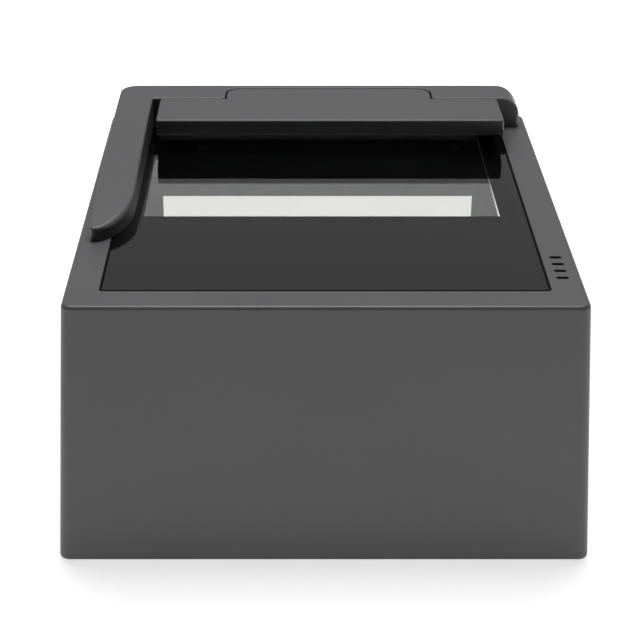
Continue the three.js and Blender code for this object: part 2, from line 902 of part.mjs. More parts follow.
function barSection() {
  const outline = new THREE.Shape();
  outline.moveTo(localRear, localBottom);
  outline.lineTo(localRear, localTop - hoodEdge);
  outline.absarc(localRear - hoodEdge, localTop - hoodEdge, hoodEdge, 0, Math.PI / 2);
  outline.lineTo(localFront + hoodEdge, localTop);
  outline.absarc(localFront + hoodEdge, localTop - hoodEdge, hoodEdge, Math.PI / 2, Math.PI);
  outline.lineTo(localFront, localBottom + hoodLip);
  outline.absarc(localFront + hoodLip, localBottom + hoodLip, hoodLip, Math.PI, Math.PI * 1.5);
  return outline;
}

function hoodScrewPlaces() {
  const y = (linerFront + linerRear) / 2;
  return sides.map(([side, signX]) => ({
    name: `hood_screw_${side}`,
    x: signX * (localRight - localLeft) * hoodScrewSpreadShare,
    y,
  }));
}

function hoodShell() {
  const wide = sideways(barSection(), localLeft, localRight, 5);
  const tongue = prism(tongueOutline(0, 0, hoodRear - hoodWall), localBottom, localTop);
  tongue.translate(-hoodMiddle, -hingeY, 0);
  const cavity = box(
    -linerHalf,
    linerHalf,
    linerFront,
    linerRear,
    localBottom - overrun,
    localTop - hoodWall,
  );
  const adds = [];
  const cuts = [bar(-tongueWidth, tongueWidth, 0, 0, hinge.bore)];
  for (const { x, y } of hoodScrewPlaces()) {
    const bossBottom = localBottom + liner.thickness + seat;
    adds.push(post(x, y, hoodBoss, bossBottom, localTop - hoodWall / 2));
    const holeTop = localTop - hoodWall;
    cuts.push(post(x, y, screw.hole, bossBottom - overrun, holeTop, screw.sides));
  }
  for (const [, signX] of sides) {
    cuts.push(
      box(
        signX * spring.offset - springPocket.width / 2,
        signX * spring.offset + springPocket.width / 2,
        -springPocket.front,
        hinge.inset - springPocket.back,
        localBottom - overrun,
        localTop - springPocket.roof,
      ),
    );
  }
  const raw = join(cut(join(wide, tongue), cavity), ...adds);
  return piece("hood_shell", cut(raw, ...cuts), materials.casing);
}

function hoodUnderside() {
  const plate = box(
    -linerHalf + liner.gap,
    linerHalf - liner.gap,
    linerFront + liner.gap,
    linerRear - liner.gap,
    localBottom,
    localBottom + liner.thickness,
  );
  const holes = hoodScrewPlaces().flatMap(({ x, y }) => [
    post(x, y, screw.clear, localBottom - overrun, localTop, screw.sides),
    post(x, y, screw.head + fit, localBottom - overrun, localBottom + hoodHeadSink(), screw.sides),
  ]);
  return piece("hood_underside", cut(plate, ...holes), materials.base);
}

function hoodHeadSink() {
  return liner.thickness / 2;
}

// Low-headed screws through the underside plate
function hoodScrews() {
  const head = hoodHeadSink() - seat;
  const length = hoodThickness - liner.thickness - hoodWall - fit;
  const profile = [
    [0, 0],
    [screw.head, 0],
    [screw.head, head],
    [screw.shank, head],
    [screw.shank, head + length],
    [0, head + length],
  ];
  return hoodScrewPlaces().map(({ name, x, y }) => {
    const mesh = piece(name, turned(0, 0, profile, screw.sides), materials.screwSteel);
    mesh.position.set(x, y, localBottom);
    return mesh;
  });
}

function hood() {
  const group = new THREE.Group();
  group.position.set(hoodMiddle, hingeY, hingeZ);
  group.add(hoodShell(), hoodUnderside(), ...hoodScrews());
  return group;
}

// Lit chamber under the glass

const chamber = {
  half: 75.4,
  wall: 2,
  floor: 20.5, // height of its floor's underside over the casing's bottom edge
  front: 13.9, // inside, before the clear window
  rear: 2.6, // inside, behind it
  flange: 1.8,
  sideOpening: 1.2, // the flange's opening is this much wider than the window each side
  frontOpening: 1.9,
};
const chamberOuter = chamber.half + chamber.wall;
const chamberFront = windowFront - chamber.front;
const chamberRear = stopY + chamber.rear;
const flangeTop = ledgeBottom - seat;
const flangeBottom = flangeTop - chamber.flange;
const flangeHalf = pocketHalf + rim.wall - fit * 1.5;
const flangeEnd = pillarY - pillar.radius - fit * 1.5;
const floorBottom = footLift + chamber.floor;
const floorTop = floorBottom + chamber.wall;
const antennaPad = { radius: 2, height: 1.25, inset: 4 };
const antenna = { half: 62, depth: 44, frontInset: 17, thickness: 1 };
const antennaFront = frontY + antenna.frontInset;
const antennaBottom = flangeTop + antennaPad.height + seat;
const lensHole = 12;
const cameraBoard = { half: 19, thickness: 1.6, drop: 1.7, pegInset: 3.5, peg: 1.1, pegBoss: 2.2 };
const cameraTop = floorBottom - cameraBoard.drop;
const cameraBottom = cameraTop - cameraBoard.thickness;

// Lit panels let into the chamber's walls: top is the depth below the glass level
const panel = { thickness: 1.2, gap: 0.15, ledHeight: 0.6, boardMargin: 3, boardThickness: 1 };
const rearPanel = { half: 63.4, top: 32.7, aboveFloor: 8.3 };
const frontPanel = { half: 50, top: 30, aboveFloor: 9.5 };
const sidePanel = { front: 12, rear: 16, top: 28, aboveFloor: 7.5 };
const baffle = { bottom: 27.1, thickness: 1.5, gap: 0.2 };

function level(depthBelowGlass) {
  return glassLevel - depthBelowGlass;
}

function antennaPads() {
  const xs = [-antenna.half + antennaPad.inset, antenna.half - antennaPad.inset];
  const ys = [antennaFront + antennaPad.inset, antennaFront + antenna.depth - antennaPad.inset];
  return xs.flatMap((x) => ys.map((y) => [x, y]));
}

function cameraPegs() {
  const reach = cameraBoard.half - cameraBoard.pegInset;
  return corners().map(({ signX, signY }) => [signX * reach, windowMiddle + signY * reach]);
}

function lightBox() {
  const tub = box(
    -chamberOuter,
    chamberOuter,
    chamberFront - chamber.wall,
    chamberRear + chamber.wall,
    floorBottom,
    flangeBottom + chamber.flange / 2,
  );
  const inside = box(
    -chamber.half,
    chamber.half,
    chamberFront,
    chamberRear,
    floorTop,
    flangeBottom,
  );
  const flange = box(-flangeHalf, flangeHalf, -flangeEnd, flangeEnd, flangeBottom, flangeTop);
  const viewHole = box(
    -windowHalf - chamber.sideOpening,
    windowHalf + chamber.sideOpening,
    windowFront - chamber.frontOpening,
    chamberRear,
    flangeBottom - overrun,
    flangeTop + overrun,
  );
  const adds = [flange];
  const cuts = [viewHole];
  for (const { signX, signY } of corners()) {
    const x = signX * boxBossX;
    const y = signY * boxBossY;
    const ys = [signY * (flangeEnd - overrun), y].sort((a, b) => a - b);
    const ear = boxBoss.radius + fit;
    adds.push(box(x - ear, x + ear, ys[0], ys[1], flangeBottom, flangeTop));
    adds.push(post(x, y, boxBossRoom / 2, flangeBottom, flangeTop));
    cuts.push(post(x, y, screw.clear, flangeBottom - overrun, flangeTop + overrun, screw.sides));
  }
  for (const [x, y] of antennaPads()) {
    adds.push(post(x, y, antennaPad.radius, flangeBottom, flangeTop + antennaPad.height));
  }
  for (const [x, y] of cameraPegs()) {
    adds.push(post(x, y, cameraBoard.pegBoss, cameraTop + seat, floorTop - chamber.wall / 2));
    adds.push(post(x, y, cameraBoard.peg, cameraBottom - fit, floorTop - chamber.wall / 2));
  }
  cuts.push(post(0, windowMiddle, lensHole, floorBottom - overrun, floorTop + overrun));
  for (const { hole } of Object.values(panels())) cuts.push(hole(overrun));
  cuts.push(ribbonSlot());
  const raw = join(cut(tub, inside), ...adds);
  return piece("light_box", cut(raw, ...cuts), materials.chamber);
}

// Each panel's cut-out through the wall, its diffuser and its board of lamps
function panels() {
  const thick = panel.thickness;
  const gap = panel.gap;
  const boardNear = chamber.wall + seat;
  const boardFar = boardNear + panel.boardThickness;
  const margin = panel.boardMargin;

  // near and far are measured outwards from the chamber's inner face
  function endPanel(faceY, out, { half, top, aboveFloor }) {
    return (near, far, grow) => {
      const ys = [faceY + out * near, faceY + out * far].sort((a, b) => a - b);
      const low = floorTop + aboveFloor - grow;
      return box(-half - grow, half + grow, ys[0], ys[1], low, level(top) + grow);
    };
  }
  function flankPanel(out) {
    const face = out * chamber.half;
    const front = chamberFront + sidePanel.front;
    const rear = chamberRear - sidePanel.rear;
    return (near, far, grow) => {
      const xs = [face + out * near, face + out * far].sort((a, b) => a - b);
      const low = floorTop + sidePanel.aboveFloor - grow;
      const high = level(sidePanel.top) + grow;
      return box(xs[0], xs[1], front - grow, rear + grow, low, high);
    };
  }
  const forms = {
    rear: endPanel(chamberRear, 1, rearPanel),
    front: endPanel(chamberFront, -1, frontPanel),
    left: flankPanel(-1),
    right: flankPanel(1),
  };
  const result = {};
  for (const [name, form] of Object.entries(forms)) {
    result[name] = {
      hole: (past) => form(-past, chamber.wall + past, 0),
      diffuser: () => form(0, thick, -gap),
      board: () => form(boardNear, boardFar, margin),
      lamps: () => lampRow(form(boardNear - panel.ledHeight, boardNear + film, -margin)),
    };
  }
  return result;
}

// Two rows of small lamps spread evenly over the face of the given slab
const lamp = { size: 2.8, pitch: 14, rowShares: [0.25, 0.75] };

function lampRow(slab) {
  slab.computeBoundingBox();
  const { min, max } = slab.boundingBox;
  const alongX = max.x - min.x > max.y - min.y;
  const start = alongX ? min.x : min.y;
  const length = (alongX ? max.x : max.y) - start;
  const count = Math.max(2, Math.round(length / lamp.pitch));
  const half = lamp.size / 2;
  const lamps = [];
  for (const share of lamp.rowShares) {
    const z = min.z + (max.z - min.z) * share;
    for (let i = 0; i < count; i++) {
      const at = start + (length * (i + 0.5)) / count;
      lamps.push(
        alongX
          ? box(at - half, at + half, min.y, max.y, z - half, z + half)
          : box(min.x, max.x, at - half, at + half, z - half, z + half),
      );
    }
  }
  return lamps;
}

function chamberPanels() {
  return Object.entries(panels()).flatMap(([name, parts]) => [
    piece(`${name}_diffuser`, parts.diffuser(), materials.diffuser),
    piece(`${name}_led_board`, join(parts.board(), ...parts.lamps()), materials.board),
  ]);
}

function rearBaffle() {
  const faceY = chamberRear - baffle.gap;
  return piece(
    "rear_baffle",
    box(
      -chamber.half + fit,
      chamber.half - fit,
      faceY - baffle.thickness,
      faceY,
      level(baffle.bottom),
      flangeBottom - seat,
    ),
    materials.baffle,
  );
}

function boxScrews() {
  const z = flangeBottom - seat - screw.headHeight;
  const length = chamber.flange + boxBoss.holeDepth - seat;
  return corners().map(({ name, signX, signY }) =>
    screwUp(`box_screw_${name}`, signX * boxBossX, signY * boxBossY, z, length),
  );
}

// Camera on its board under the chamber's floor

const holder = { half: 8, height: 8, bore: 6.8, tubeHeight: 3.4 };
const barrel = { radius: 6.5, inner: 4.9, bottomGap: 3, height: 10.5, rimDepth: 1.2, rimInner: 5.4 };
const sensor = { half: 4.5, height: 1.1 };
const ribbonSocket = { half: 7, depth: 4, height: 1.8, fromEdge: 1.2 };
const cameraFront = windowMiddle - cameraBoard.half;

function cameraBoardPiece() {
  const slab = box(
    -cameraBoard.half,
    cameraBoard.half,
    cameraFront,
    windowMiddle + cameraBoard.half,
    cameraBottom,
    cameraTop,
  );
  const holes = cameraPegs().map(([x, y]) =>
    post(x, y, cameraBoard.peg + fit / 2, cameraBottom - overrun, cameraTop + overrun, screw.sides),
  );
  const chip = block(
    0,
    windowMiddle,
    sensor.half * 2,
    sensor.half * 2,
    cameraTop - film,
    cameraTop + sensor.height,
  );
  const socketFront = cameraFront + ribbonSocket.fromEdge;
  const socket = box(
    -ribbonSocket.half,
    ribbonSocket.half,
    socketFront,
    socketFront + ribbonSocket.depth,
    cameraBottom - ribbonSocket.height,
    cameraBottom + film,
  );
  return piece("camera_board", cut(join(slab, chip, socket), ...holes), materials.board);
}

function lensHolder() {
  const low = cameraTop + seat;
  const high = low + holder.height;
  const body = block(0, windowMiddle, holder.half * 2, holder.half * 2, low, high);
  const tube = post(0, windowMiddle, holder.half, high - film, high + holder.tubeHeight);
  const bore = post(
    0,
    windowMiddle,
    holder.bore,
    low - overrun,
    high + holder.tubeHeight + overrun,
  );
  return piece("lens_holder", cut(join(body, tube), bore), materials.camera);
}

function lensBarrel() {
  const low = cameraTop + barrel.bottomGap;
  const high = low + barrel.height;
  return piece(
    "lens_barrel",
    turned(0, windowMiddle, [
      [barrel.inner, low],
      [barrel.radius, low],
      [barrel.radius, high],
      [barrel.rimInner, high],
      [barrel.inner, high - barrel.rimDepth],
      [barrel.inner, low],
    ]),
    materials.camera,
  );
}

function lensGlass() {
  const radius = barrel.inner - fit / 2;
  const bulge = radius / 4;
  const top = cameraTop + barrel.bottomGap + barrel.height - barrel.rimDepth - bulge;
  const steps = 5;
  const profile = [
    [0, top - bulge * 2],
    [radius, top - bulge * 2],
  ];
  for (let k = 0; k <= steps; k++) {
    const angle = ((k / steps) * Math.PI) / 2;
    profile.push([radius * Math.cos(angle), top + bulge * Math.sin(angle)]);
  }
  profile[profile.length - 1][0] = 0;
  return piece("lens_glass", turned(0, windowMiddle, profile), materials.lens);
}

// Boards, ports and the heat sink on the base plate

const chip = {
  processor: [-34, 14, 16, 16, 1.5],
  memory: [-12, 14, 11, 9, 1.1],
  flash: [8, 10, 9, 7, 1.1],
  supplyCoil: [-40, 62, 9, 9, 4],
  supplyChip: [-26, 60, 6, 5, 1.1],
  linkChip: [30, 50, 8, 8, 1.1],
};
const capacitor = { radius: 3, height: 7.5, xs: [-50, -43], fromFront: 79 };
const ledSocket = { x: 40, half: 4, depth: 4, height: 2, fromFront: 2 };

function onBoard(front, top, [x, fromFront, width, depth, height]) {
  return block(x, front + fromFront, width, depth, top - film, top + height);
}

function mainBoardPiece() {
  const slab = box(
    -mainBoard.halfWidth,
    mainBoard.halfWidth,
    mainFront,
    mainRear,
    boardBottom,
    boardTop,
  );
  const chips = Object.values(chip).map((place) => onBoard(mainFront, boardTop, place));
  const cans = capacitor.xs.map((x) =>
    post(
      x,
      mainFront + capacitor.fromFront,
      capacitor.radius,
      boardTop - film,
      boardTop + capacitor.height,
      16,
    ),
  );
  const cameraSocketFront = cameraFront + ribbonSocket.fromEdge;
  const cameraSocket = box(
    -ribbonSocket.half,
    ribbonSocket.half,
    cameraSocketFront,
    cameraSocketFront + ribbonSocket.depth,
    boardTop - film,
    boardTop + ribbonSocket.height,
  );
  const ledSocketFront = mainFront + ledSocket.fromFront;
  const lampSocket = box(
    ledSocket.x - ledSocket.half,
    ledSocket.x + ledSocket.half,
    ledSocketFront,
    ledSocketFront + ledSocket.depth,
    boardTop - film,
    boardTop + ledSocket.height,
  );
  const holes = mainBoardHoles().map(({ x, y }) =>
    post(x, y, screw.hole, boardBottom - overrun, boardTop + overrun, screw.sides),
  );
  return piece(
    "main_board",
    cut(join(slab, ...chips, ...cans, cameraSocket, lampSocket), ...holes),
    materials.board,
  );
}

const sink = { width: 26, depth: 22, base: 1.4, fins: 7, fin: 1, finHeight: 3.2 };

function heatSink() {
  const [x, fromFront, , , height] = chip.processor;
  const y = mainFront + fromFront;
  const low = boardTop + height + seat;
  const high = low + sink.base;
  const fins = [];
  for (let i = 0; i < sink.fins; i++) {
    const at = x + ((i + 0.5) / sink.fins - 0.5) * sink.width;
    fins.push(block(at, y, sink.fin, sink.depth, high - film, high + sink.finHeight));
  }
  const slab = block(x, y, sink.width, sink.depth, low, high);
  return piece("heat_sink", join(slab, ...fins), materials.heatsink);
}

const portMouth = { wall: 0.9, depth: 9.5, tongueWidth: 5.6, tongueHeight: 3, tongueBack: 1.2 };
const jackMouth = { radius: 3.1, depth: 10, pin: 1, pinBack: 1.5 };
const portRear = rearY + lean(portBottom + port.height / 2) - port.recess;

function usbPort() {
  const body = box(
    portX - port.width / 2,
    portX + port.width / 2,
    portRear - port.depth,
    portRear,
    portBottom,
    portBottom + port.height,
  );
  const mouth = box(
    portX - port.width / 2 + portMouth.wall,
    portX + port.width / 2 - portMouth.wall,
    portRear - portMouth.depth,
    portRear + overrun,
    portBottom + portMouth.wall,
    portBottom + port.height - portMouth.wall,
  );
  const tongue = block(
    portX,
    portRear - portMouth.depth / 2 - portMouth.tongueBack,
    portMouth.tongueWidth,
    portMouth.depth,
    portBottom + (port.height - portMouth.tongueHeight) / 2,
    portBottom + (port.height + portMouth.tongueHeight) / 2,
  );
  return piece("usb_port", join(cut(body, mouth), tongue), materials.port);
}

function powerJack() {
  const middleZ = portBottom + jack.height / 2;
  const body = box(
    jackX - jack.width / 2,
    jackX + jack.width / 2,
    portRear - jack.depth,
    portRear,
    portBottom,
    portBottom + jack.height,
  );
  const mouthStart = portRear - jackMouth.depth;
  const mouth = spigot(jackX, mouthStart, portRear + overrun, middleZ, jackMouth.radius);
  const pin = spigot(
    jackX,
    mouthStart - overrun,
    portRear - jackMouth.pinBack,
    middleZ,
    jackMouth.pin,
    12,
  );
  return piece("power_jack", join(cut(body, mouth), pin), materials.jack);
}

const readerChip = {
  shield: [-16, 22, 26, 24, 2.6],
  controller: [14, 14, 9, 9, 1.1],
  crystal: [14, 26, 5, 3, 1.4],
};
const antennaSocket = { x: 22, half: 3.4, depth: 4, height: 2, y: 4 };

function readerBoardPiece() {
  const slab = box(
    readerBoard.left,
    readerBoard.right,
    readerFront,
    readerRear,
    boardBottom,
    boardTop,
  );
  const chips = Object.values(readerChip).map((place) => onBoard(readerFront, boardTop, place));
  const socket = antennaSocketBox(boardTop - film, boardTop + antennaSocket.height);
  const holes = readerBoardHoles().map(({ x, y }) =>
    post(x, y, screw.hole, boardBottom - overrun, boardTop + overrun, screw.sides),
  );
  return piece("reader_board", cut(join(slab, ...chips, socket), ...holes), materials.board);
}

function antennaSocketBox(z0, z1) {
  const front = antennaFront + antennaSocket.y;
  return box(
    antennaSocket.x - antennaSocket.half,
    antennaSocket.x + antennaSocket.half,
    front,
    front + antennaSocket.depth,
    z0,
    z1,
  );
}

function antennaBoard() {
  const slab = box(
    -antenna.half,
    antenna.half,
    antennaFront,
    antennaFront + antenna.depth,
    antennaBottom,
    antennaBottom + antenna.thickness,
  );
  return piece("antenna_board", slab, materials.board);
}

function boardScrews() {
  const top = boardTop + seat + screw.headHeight;
  const length = boardThickness + standoff.holeDepth - fit * 2;
  return [...mainBoardHoles(), ...readerBoardHoles()].map(({ name, x, y }) =>
    screwDown(name, x, y, top, length),
  );
}

function buzzer() {
  const hole = 1.2;
  const depth = buzzerSize.height / 3;
  const can = post(buzzerX, buzzerY, buzzerSize.radius, buzzerBottom, buzzerTop);
  const mouth = post(buzzerX, buzzerY, hole, buzzerTop - depth, buzzerTop + overrun, 12);
  return piece("buzzer", cut(can, mouth), materials.jack);
}

// Flat ribbons between the boards: a centreline in Y and Z, with a width along X

const ribbon = { thickness: 0.3, gap: 0.25, half: 5, ledHalf: 3, antennaHalf: 2.6, clear: 0.8 };
const ribbonLineShares = { swing: 0.9, curve: 0.3 };

function ribbonAlong(points, x, half) {
  const curve = new THREE.CatmullRomCurve3(points.map(([y, z]) => new THREE.Vector3(y, z, 0)));
  const steps = 14;
  const near = [];
  const far = [];
  for (let k = 0; k <= steps; k++) {
    const at = curve.getPoint(k / steps);
    const run = curve.getTangent(k / steps);
    const side = new THREE.Vector3(-run.y, run.x, 0).multiplyScalar(ribbon.thickness / 2);
    near.push(new THREE.Vector2(at.x + side.x, at.y + side.y));
    far.push(new THREE.Vector2(at.x - side.x, at.y - side.y));
  }
  return sideways(new THREE.Shape([...near, ...far.reverse()]), x - half, x + half);
}

function cameraRibbon() {
  const start = cameraFront + ribbonSocket.fromEdge - ribbon.gap;
  const high = cameraBottom - ribbonSocket.height / 2;
  const low = boardTop + ribbonSocket.height / 2;
  const radius = (high - low) / 2;
  const points = [
    [start, high],
    [start - radius * ribbonLineShares.curve, high],
    [start - radius * (1 + ribbonLineShares.curve), (high + low) / 2],
    [start - radius * ribbonLineShares.curve, low],
    [start, low],
  ];
  return piece("camera_ribbon", ribbonAlong(points, 0, ribbon.half), materials.ribbon);
}

function ledRibbon() {
  const boardFace = chamberFront - chamber.wall - seat - panel.boardThickness;
  const y = boardFace - ribbon.gap - ribbon.thickness / 2;
  const top = (level(frontPanel.top) + floorTop + frontPanel.aboveFloor) / 2;
  const end = mainFront + ledSocket.fromFront - ribbon.gap;
  const low = boardTop + ledSocket.height / 2;
  const turn = (floorBottom - low) * ribbonLineShares.swing;
  const points = [
    [y, top],
    [y, (top + low + turn) / 2],
    [y, low + turn],
    [y + turn * ribbonLineShares.curve, low + turn * ribbonLineShares.curve],
    [y + turn, low],
    [end, low],
  ];
  return piece("led_ribbon", ribbonAlong(points, ledSocket.x, ribbon.ledHalf), materials.ribbon);
}

function antennaRibbonY() {
  return antennaFront + antennaSocket.y + antennaSocket.depth / 2;
}

function antennaRibbon() {
  const y = antennaRibbonY();
  const top = antennaBottom - ribbon.gap;
  const low = boardTop + antennaSocket.height + ribbon.gap;
  const swing = antennaSocket.depth * ribbonLineShares.swing;
  const points = [
    [y, top],
    [y, top - swing],
    [y - swing, (top + low) / 2],
    [y, low + swing],
    [y, low],
  ];
  return piece(
    "antenna_ribbon",
    ribbonAlong(points, antennaSocket.x, ribbon.antennaHalf),
    materials.ribbon,
  );
}

// The slot that lets the antenna's ribbon down through the chamber's flange
function ribbonSlot() {
  const half = ribbon.antennaHalf + ribbon.clear;
  const depth = antennaSocket.depth;
  const y = antennaRibbonY();
  return box(
    antennaSocket.x - half,
    antennaSocket.x + half,
    y - depth,
    y + depth / 2,
    flangeBottom - overrun,
    flangeTop + overrun,
  );
}

const reader = new THREE.Group();
reader.add(
  housingShell(),
  basePlate(),
  ...feet(),
  ...baseScrews(),
  glassPlate(),
  glassBorder(),
  glassGasket(),
  documentGuide(),
  ...guideScrews(),
  hingeRod(),
  ...torsionSprings(),
  hood(),
  lightBox(),
  ...boxScrews(),
  ...chamberPanels(),
  rearBaffle(),
  cameraBoardPiece(),
  lensHolder(),
  lensBarrel(),
  lensGlass(),
  mainBoardPiece(),
  heatSink(),
  usbPort(),
  powerJack(),
  readerBoardPiece(),
  antennaBoard(),
  ...boardScrews(),
  buzzer(),
  cameraRibbon(),
  ledRibbon(),
  antennaRibbon(),
);

export default reader;
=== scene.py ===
import json
import math

import bpy
import numpy as np
from mathutils import Matrix, Vector
from mathutils.geometry import delaunay_2d_cdt


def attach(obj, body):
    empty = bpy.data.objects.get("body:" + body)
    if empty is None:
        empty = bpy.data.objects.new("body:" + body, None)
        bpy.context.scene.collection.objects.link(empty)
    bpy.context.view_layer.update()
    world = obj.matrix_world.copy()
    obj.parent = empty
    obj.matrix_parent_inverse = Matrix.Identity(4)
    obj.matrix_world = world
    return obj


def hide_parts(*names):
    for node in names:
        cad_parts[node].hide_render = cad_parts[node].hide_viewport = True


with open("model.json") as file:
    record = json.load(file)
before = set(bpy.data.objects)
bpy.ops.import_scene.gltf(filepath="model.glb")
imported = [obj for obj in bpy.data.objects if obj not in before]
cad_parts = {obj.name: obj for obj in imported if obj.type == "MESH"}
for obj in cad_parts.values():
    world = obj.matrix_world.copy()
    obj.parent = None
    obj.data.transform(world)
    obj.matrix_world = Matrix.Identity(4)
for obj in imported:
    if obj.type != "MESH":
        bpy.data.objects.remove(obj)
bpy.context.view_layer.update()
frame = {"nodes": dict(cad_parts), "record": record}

mm = 0.001  # every size below is in millimetres and turned to metres in the mesh


# meshes

def makePiece(name, points, faces):
    # points: one array of x, y, z rows in millimetres; faces: lists of point numbers
    mesh = bpy.data.meshes.new(name)
    mesh.from_pydata((np.asarray(points, float) * mm).tolist(), [], faces)
    mesh.validate()
    piece = bpy.data.objects.new(name, mesh)
    bpy.context.scene.collection.objects.link(piece)
    return piece


def gridFaces(rows, count, closed=False):
    # quads between rows of `count` points, each row a closed loop; closed joins the last row to the first
    lower = np.arange(rows if closed else rows - 1)[:, None] * count
    upper = (lower + count) % (rows * count)
    here = np.arange(count)[None, :]
    there = (here + 1) % count
    return np.stack([lower + here, lower + there, upper + there, upper + here], -1).reshape(-1, 4).tolist()


def roundedLoop(x0, x1, y0, y1, radius, steps=10):
    # rectangle with corners that are quarter circles: centre + radius * (cos a, sin a), anticlockwise
    angles = np.concatenate([np.linspace(q, q + 1, steps + 1) for q in range(4)]) * math.pi / 2
    cornerX = np.repeat([x1 - radius, x0 + radius, x0 + radius, x1 - radius], steps + 1)
    cornerY = np.repeat([y1 - radius, y1 - radius, y0 + radius, y0 + radius], steps + 1)
    return np.stack([cornerX + radius * np.cos(angles), cornerY + radius * np.sin(angles)], 1)


def atHeight(loop, z):
    # the plan loop with its height, one number or one for each point
    return np.column_stack([loop, np.broadcast_to(z, len(loop))])


def stack(name, loops, capped=True):
    # a closed solid through loops of equal counts: both ends capped, or the last loop joined to the first
    count, rows = len(loops[0]), len(loops)
    faces = gridFaces(rows, count, closed=not capped)
    if capped:
        faces += [list(range(count))[::-1], list(range((rows - 1) * count, rows * count))]
    return makePiece(name, np.concatenate(loops), faces)


def boxBlock(name, x0, x1, y0, y1, z0, z1):
    # a block whose faces lie at the given places along X, Y and Z
    corners = np.array([[x0, y0], [x1, y0], [x1, y1], [x0, y1]], float)
    return stack(name, [atHeight(corners, z0), atHeight(corners, z1)])


def circleLoop(x, y, radius, sides=32):
    # centre + radius * (cos a, sin a)
    a = np.arange(sides) / sides * 2 * math.pi
    return np.stack([x + radius * np.cos(a), y + radius * np.sin(a)], 1)


holeSides = 20  # enough for screw holes, which are small


def post(name, x, y, radius, z0, z1, sides=32):
    # an upright round bar, or a cutter for a hole
    return stack(name, [atHeight(circleLoop(x, y, radius, sides), z) for z in (z0, z1)])


def turned(name, x, y, profile, sides=48):
    # a profile of (radius, height) turned about an upright axis; it starts and ends as a small flat disc
    return stack(name, [atHeight(circleLoop(x, y, radius, sides), z) for radius, z in profile])


def alongX(name, x0, x1, outline):
    # an outline of y, z points carried straight along X
    loop = np.asarray(outline, float)
    ends = [np.column_stack([np.full(len(loop), x), loop]) for x in (x0, x1)]
    return stack(name, ends)


def barAlongX(name, x0, x1, y, z, radius, sides=32):
    # a circle in y, z carried straight along X
    return alongX(name, x0, x1, circleLoop(y, z, radius, sides))


def combine(piece, tools, operation="DIFFERENCE"):
    # cuts the tools out of the piece, or adds them, one after another, and drops them
    for tool in tools:
        change = piece.modifiers.new("change", "BOOLEAN")
        change.solver = "MANIFOLD"
        change.operation = operation
        change.object = tool
        graph = bpy.context.evaluated_depsgraph_get()
        mesh = bpy.data.meshes.new_from_object(piece.evaluated_get(graph))
        piece.modifiers.clear()
        piece.data = mesh
        bpy.data.objects.remove(tool)
    return piece


def smoothEdges(piece, angle=32):
    # soft shading on the rounded edges only: flat faces keep their own direction
    piece.data.shade_smooth()
    piece.data.set_sharp_from_angle(angle=math.radians(angle))
    weighted = piece.modifiers.new("flat faces lead", "WEIGHTED_NORMAL")
    weighted.mode = "FACE_AREA"
    weighted.weight = 100
    weighted.keep_sharp = True


def finishPiece(piece, body, nodes, material):
    piece.data.materials.clear()
    piece.data.materials.append(material)
    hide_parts(*nodes)
    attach(piece, body)
    return piece


# materials

def linear(hexColour):
    # sRGB hex to linear light: c / 12.92 below 0.04045, else ((c + 0.055) / 1.055) ** 2.4
    parts = [int(hexColour[i : i + 2], 16) / 255 for i in (1, 3, 5)]
    return [c / 12.92 if c <= 0.04045 else ((c + 0.055) / 1.055) ** 2.4 for c in parts] + [1.0]


def addNode(tree, kind, inputs=None, **settings):
    made = tree.nodes.new(kind)
    for name, value in settings.items():
        setattr(made, name, value)
    for name, value in (inputs or {}).items():
        if isinstance(value, bpy.types.NodeSocket):
            tree.links.new(value, made.inputs[name])
        else:
            made.inputs[name].default_value = value
    return made


def startMaterial(name):
    material = bpy.data.materials.new(name)
    material.use_nodes = True
    tree = material.node_tree
    tree.nodes.clear()
    place = addNode(tree, "ShaderNodeTexCoord").outputs["Object"]
    return material, tree, place


def endMaterial(tree, shader):
    addNode(tree, "ShaderNodeOutputMaterial", {"Surface": shader})


noiseBand = {"From Min": 0.3, "From Max": 0.7}  # nearly all values of a noise lie between these


